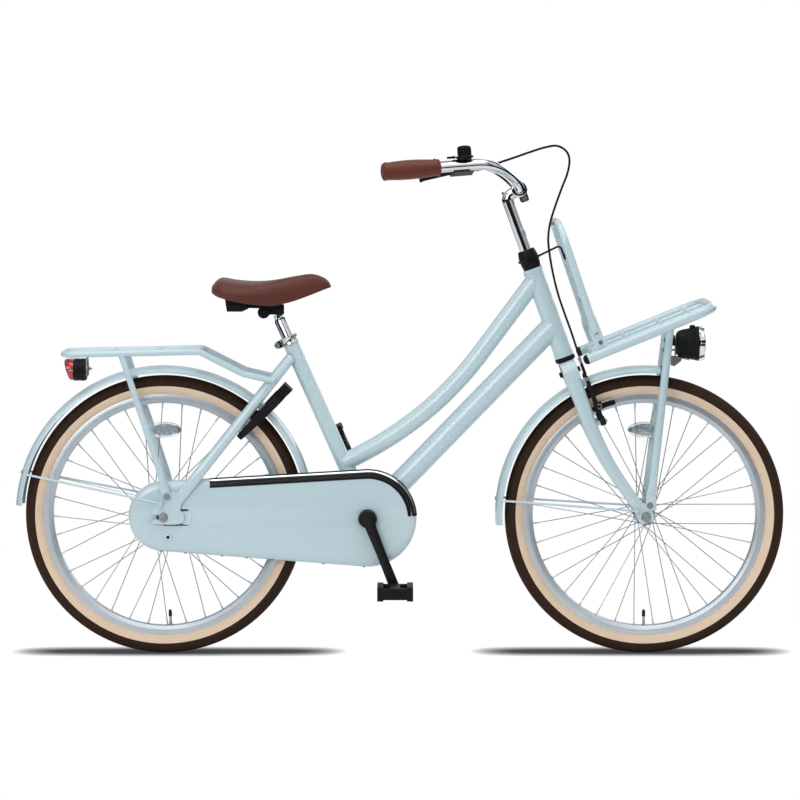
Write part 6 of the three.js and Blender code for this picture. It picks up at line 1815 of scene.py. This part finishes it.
# %% Lamps
lamp_low, lamp_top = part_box("headlamp_housing")
lamp_base = Vector((lamp_low.x, 0, (lamp_low.z + lamp_top.z) / 2))
lamp_ahead = Vector((1, 0, 0))
up = Vector((0, 0, 1))
lamp_body = [
    (0, 0.3), (20, 0.3), (22.6, 0.9), (24.2, 2.6), (27.4, 5), (31, 17), (31.6, 19.2), (31.0, 20.4),
    (31.7, 21.6), (34.6, 34), (35.2, 36.2), (34.6, 37.4), (35.4, 38.6), (37.3, 46.6), (37.3, 48),
    (34.6, 48), (29.4, 21), (0, 17.6),
]
lamp_knob = [(0, 0), (6.2, 0), (6.2, 4.4), (5.2, 5.6), (0, 6)]
lamp_dome = [(0, 0), (11.5, 0), (11.2, 12), (9.4, 18), (5.6, 22.6), (0, 24)]
lamp_bowl = [
    (2.5, 22), (9, 22.6), (17, 27), (24.5, 34.5), (30.6, 46), (33.2, 57), (34, 57), (31.4, 45.6),
    (25, 33.8), (17.4, 26.2), (9, 21.8), (2.5, 21.2),
]
lamp_bulb = [(0, 0), (2.4, 0), (2.4, 9), (1.2, 11), (0, 11)]
lamp_foot = [(-11, -26), (15, -28), (11, -38), (-3, -49), (-11, -47)]
foot_holes = [(-6, -42), (0, -38), (6, -35), (-6, -35)]
lamp_bezel = [
    (34.8, 48.3), (37.4, 48.3), (37.4, 50), (36.6, 51), (37.2, 52.4), (36.4, 56), (35.2, 59.6),
    (33.6, 60.6), (32.2, 60.2), (31.8, 58), (33.6, 57.4), (34.8, 55),
]
lamp_glass = [
    (0, 62.2), (9, 62.1), (18, 61.7), (26, 60.9), (31.6, 59.8), (31.6, 58.4), (26, 59.2), (18, 59.9),
    (9, 60.3), (0, 60.4),
]


def lamp_place(x, y, z):
    """A place measured from the middle of the headlamp's back."""
    return lamp_base + Vector((x, y, z)) * mm


def headlamp():
    form = Form()
    form.turned(scaled(lamp_body), lamp_base, lamp_ahead, 64)
    form.turned(scaled(lamp_knob), lamp_place(35, 0, 34), up, 24)
    form.turned(scaled(lamp_dome), lamp_place(-2.2, 0, 6.5), -lamp_ahead, 32)
    for side in (-1, 1):
        middle = side * 35.6
        form.block((47, 61), (middle - 2.6, middle + 2.6), (3.9, 9.1), lamp_place)
    form.coat = 1
    form.turned(scaled(lamp_bowl), lamp_base, lamp_ahead, 64)
    form.turned(scaled(lamp_bulb), lamp_place(21.5, 0, 0), lamp_ahead, 16)
    form.coat = 2
    form.plate(lamp_foot, -1.1, 1.1, lamp_place)
    for x, z in foot_holes:
        for y in (-2.0, 1.1):
            form.bar([lamp_place(x, y, z), lamp_place(x, y + 0.9, z)], 2.1 * mm, 12)
    return form.ready("headlamp_body_fine", [black, chrome, steel], "steering", "headlamp_housing", sharp=30)


def headlamp_glass():
    form = Form()
    form.turned(scaled(lamp_bezel), lamp_base, lamp_ahead, 64)
    form.coat = 1
    form.turned(scaled(lamp_glass), lamp_base, lamp_ahead, 64)
    return form.ready("headlamp_glass_fine", [chrome, clear], "steering", "headlamp_lens",
                      slot="clear_lens", sharp=30)


lamp_middle = 312 * mm
lamp_wide, lamp_high = 38.4 * mm, 23.85 * mm
lens_seat = -193.6 * mm
oval_power = 0.82
lamp_shell = [
    (0.8, -168.2), (0.93, -168.5), (0.985, -170), (1, -173), (1, -180.6), (0.975, -181.4),
    (0.975, -182.6), (1, -183.4), (1, -192.4), (0.98, -193.3),
]
lens_shape = [(0.965, 0.0), (0.99, 0.1), (0.985, 0.6), (0.95, 0.86), (0.86, 0.96), (0.7, 1.0), (0.35, 1.02)]


def oval_ring(share, place, slant=0.0):
    """An oval ring of the rear lamp; the slant pushes its upper part further back."""
    ring = []
    for k in range(72):
        turn = 2 * math.pi * k / 72
        wide, high = math.cos(turn), math.sin(turn)
        y = math.copysign(abs(wide) ** oval_power, wide) * lamp_wide * share
        z = math.copysign(abs(high) ** oval_power, high) * lamp_high * share
        ring.append(at_rear(place - slant * z / lamp_high, y, lamp_middle + z))
    return ring


def rear_lamp():
    form = Form()
    form.skin([oval_ring(share, x * mm) for share, x in lamp_shell])
    form.ready("rear_lamp_body_fine", [black], "frame", "rear_lamp_housing", sharp=30)
    lens = Form()
    lens.skin([
        oval_ring(share, lens_seat - 15.6 * mm * deep, 7.2 * mm * deep) for share, deep in lens_shape
    ])
    lens.coat = 1
    route = []
    for k in range(25):
        turn = math.pi * (k / 24)
        wide = math.cos(turn)
        deep = math.sin(turn) ** 0.35
        route.append(at_rear(lens_seat - 16.1 * mm * deep, wide * lamp_wide * 0.985, lamp_middle))
    lens.bar(route, 1.1 * mm, 8, 1.1 * mm)
    lens.ready("rear_lamp_lens_fine", [red_lens, prisms], "frame", "rear_lamp_lens", sharp=30)


headlamp()
headlamp_glass()
rear_lamp()
print("case and lamps made")

# %% [markdown]
# Small parts that are already true in the frame file only need their corners joined, their edges
# rounded and a finish. The ring lock's shell is one of them, and is also drawn thinner towards its tips.

# %% Small parts
small_parts = [
    ("bottom_bracket_cartridge", steel, "frame"),
    ("rear_axle", steel, "frame"),
    ("coaster_brake_arm", steel, "frame"),
    ("rear_sprocket", steel, "sprocket"),
    ("chain", steel, "frame"),
    ("chainring", steel, "crank"),
    ("crank_spindle", steel, "crank"),
    ("crank_right", black_steel, "crank"),
    ("crank_left", black_steel, "crank"),
    ("pedal_right", black, "right_pedal"),
    ("pedal_left", black, "left_pedal"),
    ("kickstand", black_steel, "stand"),
    ("saddle_clamp", black_steel, "saddle"),
    ("front_axle", steel, "steering"),
    ("brake_lever_bracket", black_steel, "steering"),
    ("brake_lever", black_steel, "lever"),
    ("bell_lever", black, "thumb_lever"),
    ("ring_lock_shackle", steel, "shackle"),
    ("headlamp_bracket", steel, "steering"),
    ("carrier_bracket", black_steel, "steering"),
]
for node, coat, body in small_parts:
    polish(node, coat, body)


def lock_housing():
    """The lock's shell, which gets thinner from its crest to the tips of its two arms."""
    piece = polish("ring_lock_housing", black, "frame", 2.4 * mm, 30)
    low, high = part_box("ring_lock_housing")
    uphill = Vector((high.x - low.x, 0, high.z - low.z)).normalized()
    square = uphill.cross(across)
    shares = [(v, (v.co - low).dot(uphill) / (high - low).length) for v in piece.data.vertices]
    tips = [v.co.dot(square) for v, share in shares if share < 0.3]
    middle = sum(tips) / len(tips)
    for vertex, share in shares:
        thin = between(0.5, 1.0, min(1.0, max(0.0, share / 0.75)))
        vertex.co += square * ((vertex.co.dot(square) - middle) * (thin - 1))


lock_housing()
print("small parts:", len(small_parts) + 1)

# %% [markdown]
# The studio is a white cove: a broad soft lamp overhead, a large one beside the camera, a weaker one on
# the far side and faint light from all round. The sky is white to the camera and through glass, and what
# shines sees a row of light and dark cards there instead, which draw the bands on the chrome. The floor
# is a white sheet with a painted soft shadow under each wheel, and painted contact shade where the
# bicycle comes close to it; beyond the sheet it is dark to reflections.

# %% Studio
def lamp(name, place, size, power, aim):
    data = bpy.data.lights.new(name, "AREA")
    data.shape = "RECTANGLE"
    data.size, data.size_y = size
    data.energy = power
    light = bpy.data.objects.new(name, data)
    light.location = place
    light.rotation_euler = (Vector(aim) - Vector(place)).to_track_quat("-Z", "Y").to_euler()
    bpy.context.scene.collection.objects.link(light)


bicycle_middle = (0, 0, 0.5)
lamp("overhead", (0.2, -0.6, 3.4), (4.0, 3.0), 62, bicycle_middle)
lamp("beside_camera", (-2.6, -5.2, 2.4), (3.0, 2.4), 96, bicycle_middle)
lamp("far_side", (2.8, 3.6, 2.2), (3.0, 2.0), 34, bicycle_middle)

white = (1, 1, 1, 1)


class Sky(Finish):
    """The world's graph, written like a finish."""

    def __init__(self, world):
        world.use_nodes = True
        self.nodes = world.node_tree.nodes
        self.links = world.node_tree.links
        self.nodes.clear()

    def glow(self, colour, strength=1.0):
        return self.add("ShaderNodeBackground", None, {"Color": colour, "Strength": strength})

    def ray(self, kind):
        return self.add("ShaderNodeLightPath", output=kind)

    def blend(self, share, first, second):
        return self.add("ShaderNodeMixShader", None, {0: share, 1: first, 2: second})


def grey(level):
    """A grey that is a trace blue."""
    return (level, level, level * 1.02, 1)


world = bpy.data.worlds.new("studio")
bpy.context.scene.world = world
sky = Sky(world)
view = sky.add("ShaderNodeTexCoord", output="Generated")
depth = sky.add("ShaderNodeSeparateXYZ", None, {0: view}, output="Y")
cards = [
    (0.0, grey(0.03)), (0.045, grey(0.05)), (0.07, grey(0.95)), (0.28, grey(1.0)), (0.34, grey(0.12)),
    (0.41, grey(0.12)), (0.46, grey(1.0)), (0.66, grey(0.7)), (0.74, grey(0.05)), (0.87, grey(0.1)),
    (0.94, grey(1.0)),
]
room = sky.add("ShaderNodeValToRGB", {"stops": cards}, {0: depth * 0.5 + 0.5})
height = sky.add("ShaderNodeSeparateXYZ", None, {0: view}, output="Z")
walls = sky.mix(0.8, room, grey(0.05))
room = sky.mix(height * 1.8 + 0.1, walls, room)
lit = sky.glow((0.93, 0.97, 1.0, 1), 0.44)
shiny = sky.blend(sky.ray("Is Glossy Ray"), lit, sky.glow(room))
seen = sky.ray("Is Camera Ray").larger(sky.ray("Is Transmission Ray"))
target = sky.nodes.new("ShaderNodeOutputWorld")
sky.set(target.inputs[0], sky.blend(seen, shiny, sky.glow(white)))

floor_mesh = bpy.data.meshes.new("floor")
reach = 30
floor_mesh.from_pydata(
    [(-reach, -reach, 0), (reach, -reach, 0), (reach, reach, 0), (-reach, reach, 0)], [], [(0, 1, 2, 3)]
)
floor = bpy.data.objects.new("floor", floor_mesh)
bpy.context.scene.collection.objects.link(floor)
cove = Finish("cove", Roughness=0.9, Specular_IOR_Level=0.1)
cove.shader.inputs["Base Color"].default_value = (0.86, 0.87, 0.88, 1)
# Painted contact shade: occlusion within five centimetres darkens the floor's colour towards contact_shadow.
near = cove.add("ShaderNodeAmbientOcclusion", {"samples": 8}, {"Distance": 0.05}, output="AO")
spot = cove.add("ShaderNodeTexCoord", output="Object")
spot_x = cove.add("ShaderNodeSeparateXYZ", None, {0: spot}, output="X")
spot_y = cove.add("ShaderNodeSeparateXYZ", None, {0: spot}, output="Y")
# Where the painted wheel shadows lie on the floor, and how dark the painted shadow and contact shade are.
shadow_strip_side = 0.015
shadow_strip_half_width = 0.07
sheet_edge = 4.6
sheet_fade = 2.4
wheel_shadow = (0.075, 0.075, 0.08, 1)
contact_shadow = (0.05, 0.05, 0.05, 1)


def strip(middle_x, half):
    """A painted soft shadow on the floor under one wheel: 1 inside it and 0 outside."""
    along = (spot_x - middle_x) / half
    away = (spot_y - shadow_strip_side) / shadow_strip_half_width
    inside = 1.1 - (along ** 2) ** 4 - away ** 2
    return cove.add("ShaderNodeMath", {"operation": "MULTIPLY", "use_clamp": True}, {0: inside, 1: 1.0})


# Painted shadows under both wheels, then painted contact shade, make the colour that the camera sees on the
# floor.
painted_wheel_shadows = strip(rear_axle.x + 0.028, 0.36).larger(strip(front_axle.x - 0.026, 0.345))
floor_with_painted_shadows = cove.mix(painted_wheel_shadows, white, wheel_shadow)
floor_with_painted_shade = cove.mix(near, contact_shadow, floor_with_painted_shadows)
far_out = (spot_x ** 2 + spot_y ** 2) / sheet_fade
sheet = cove.add("ShaderNodeMath", {"operation": "SUBTRACT", "use_clamp": True}, {0: sheet_edge, 1: far_out})
mirrored = cove.add("ShaderNodeLightPath", output="Is Glossy Ray")
glow = cove.add("ShaderNodeEmission", None, {"Color": floor_with_painted_shade, "Strength": 1.0 - mirrored * (1.0 - sheet)})
look = mirrored.larger(cove.add("ShaderNodeLightPath", output="Is Camera Ray"))
look = look.larger(cove.add("ShaderNodeLightPath", output="Is Transmission Ray"))
shown = cove.add("ShaderNodeMixShader", None, {0: look, 1: Wire(cove, cove.shader.outputs[0]), 2: glow})
cove.links.new(shown.socket, cove.nodes["Material Output"].inputs["Surface"])
floor_mesh.materials.append(cove.material)

bpy.context.scene.view_settings.view_transform = "Standard"
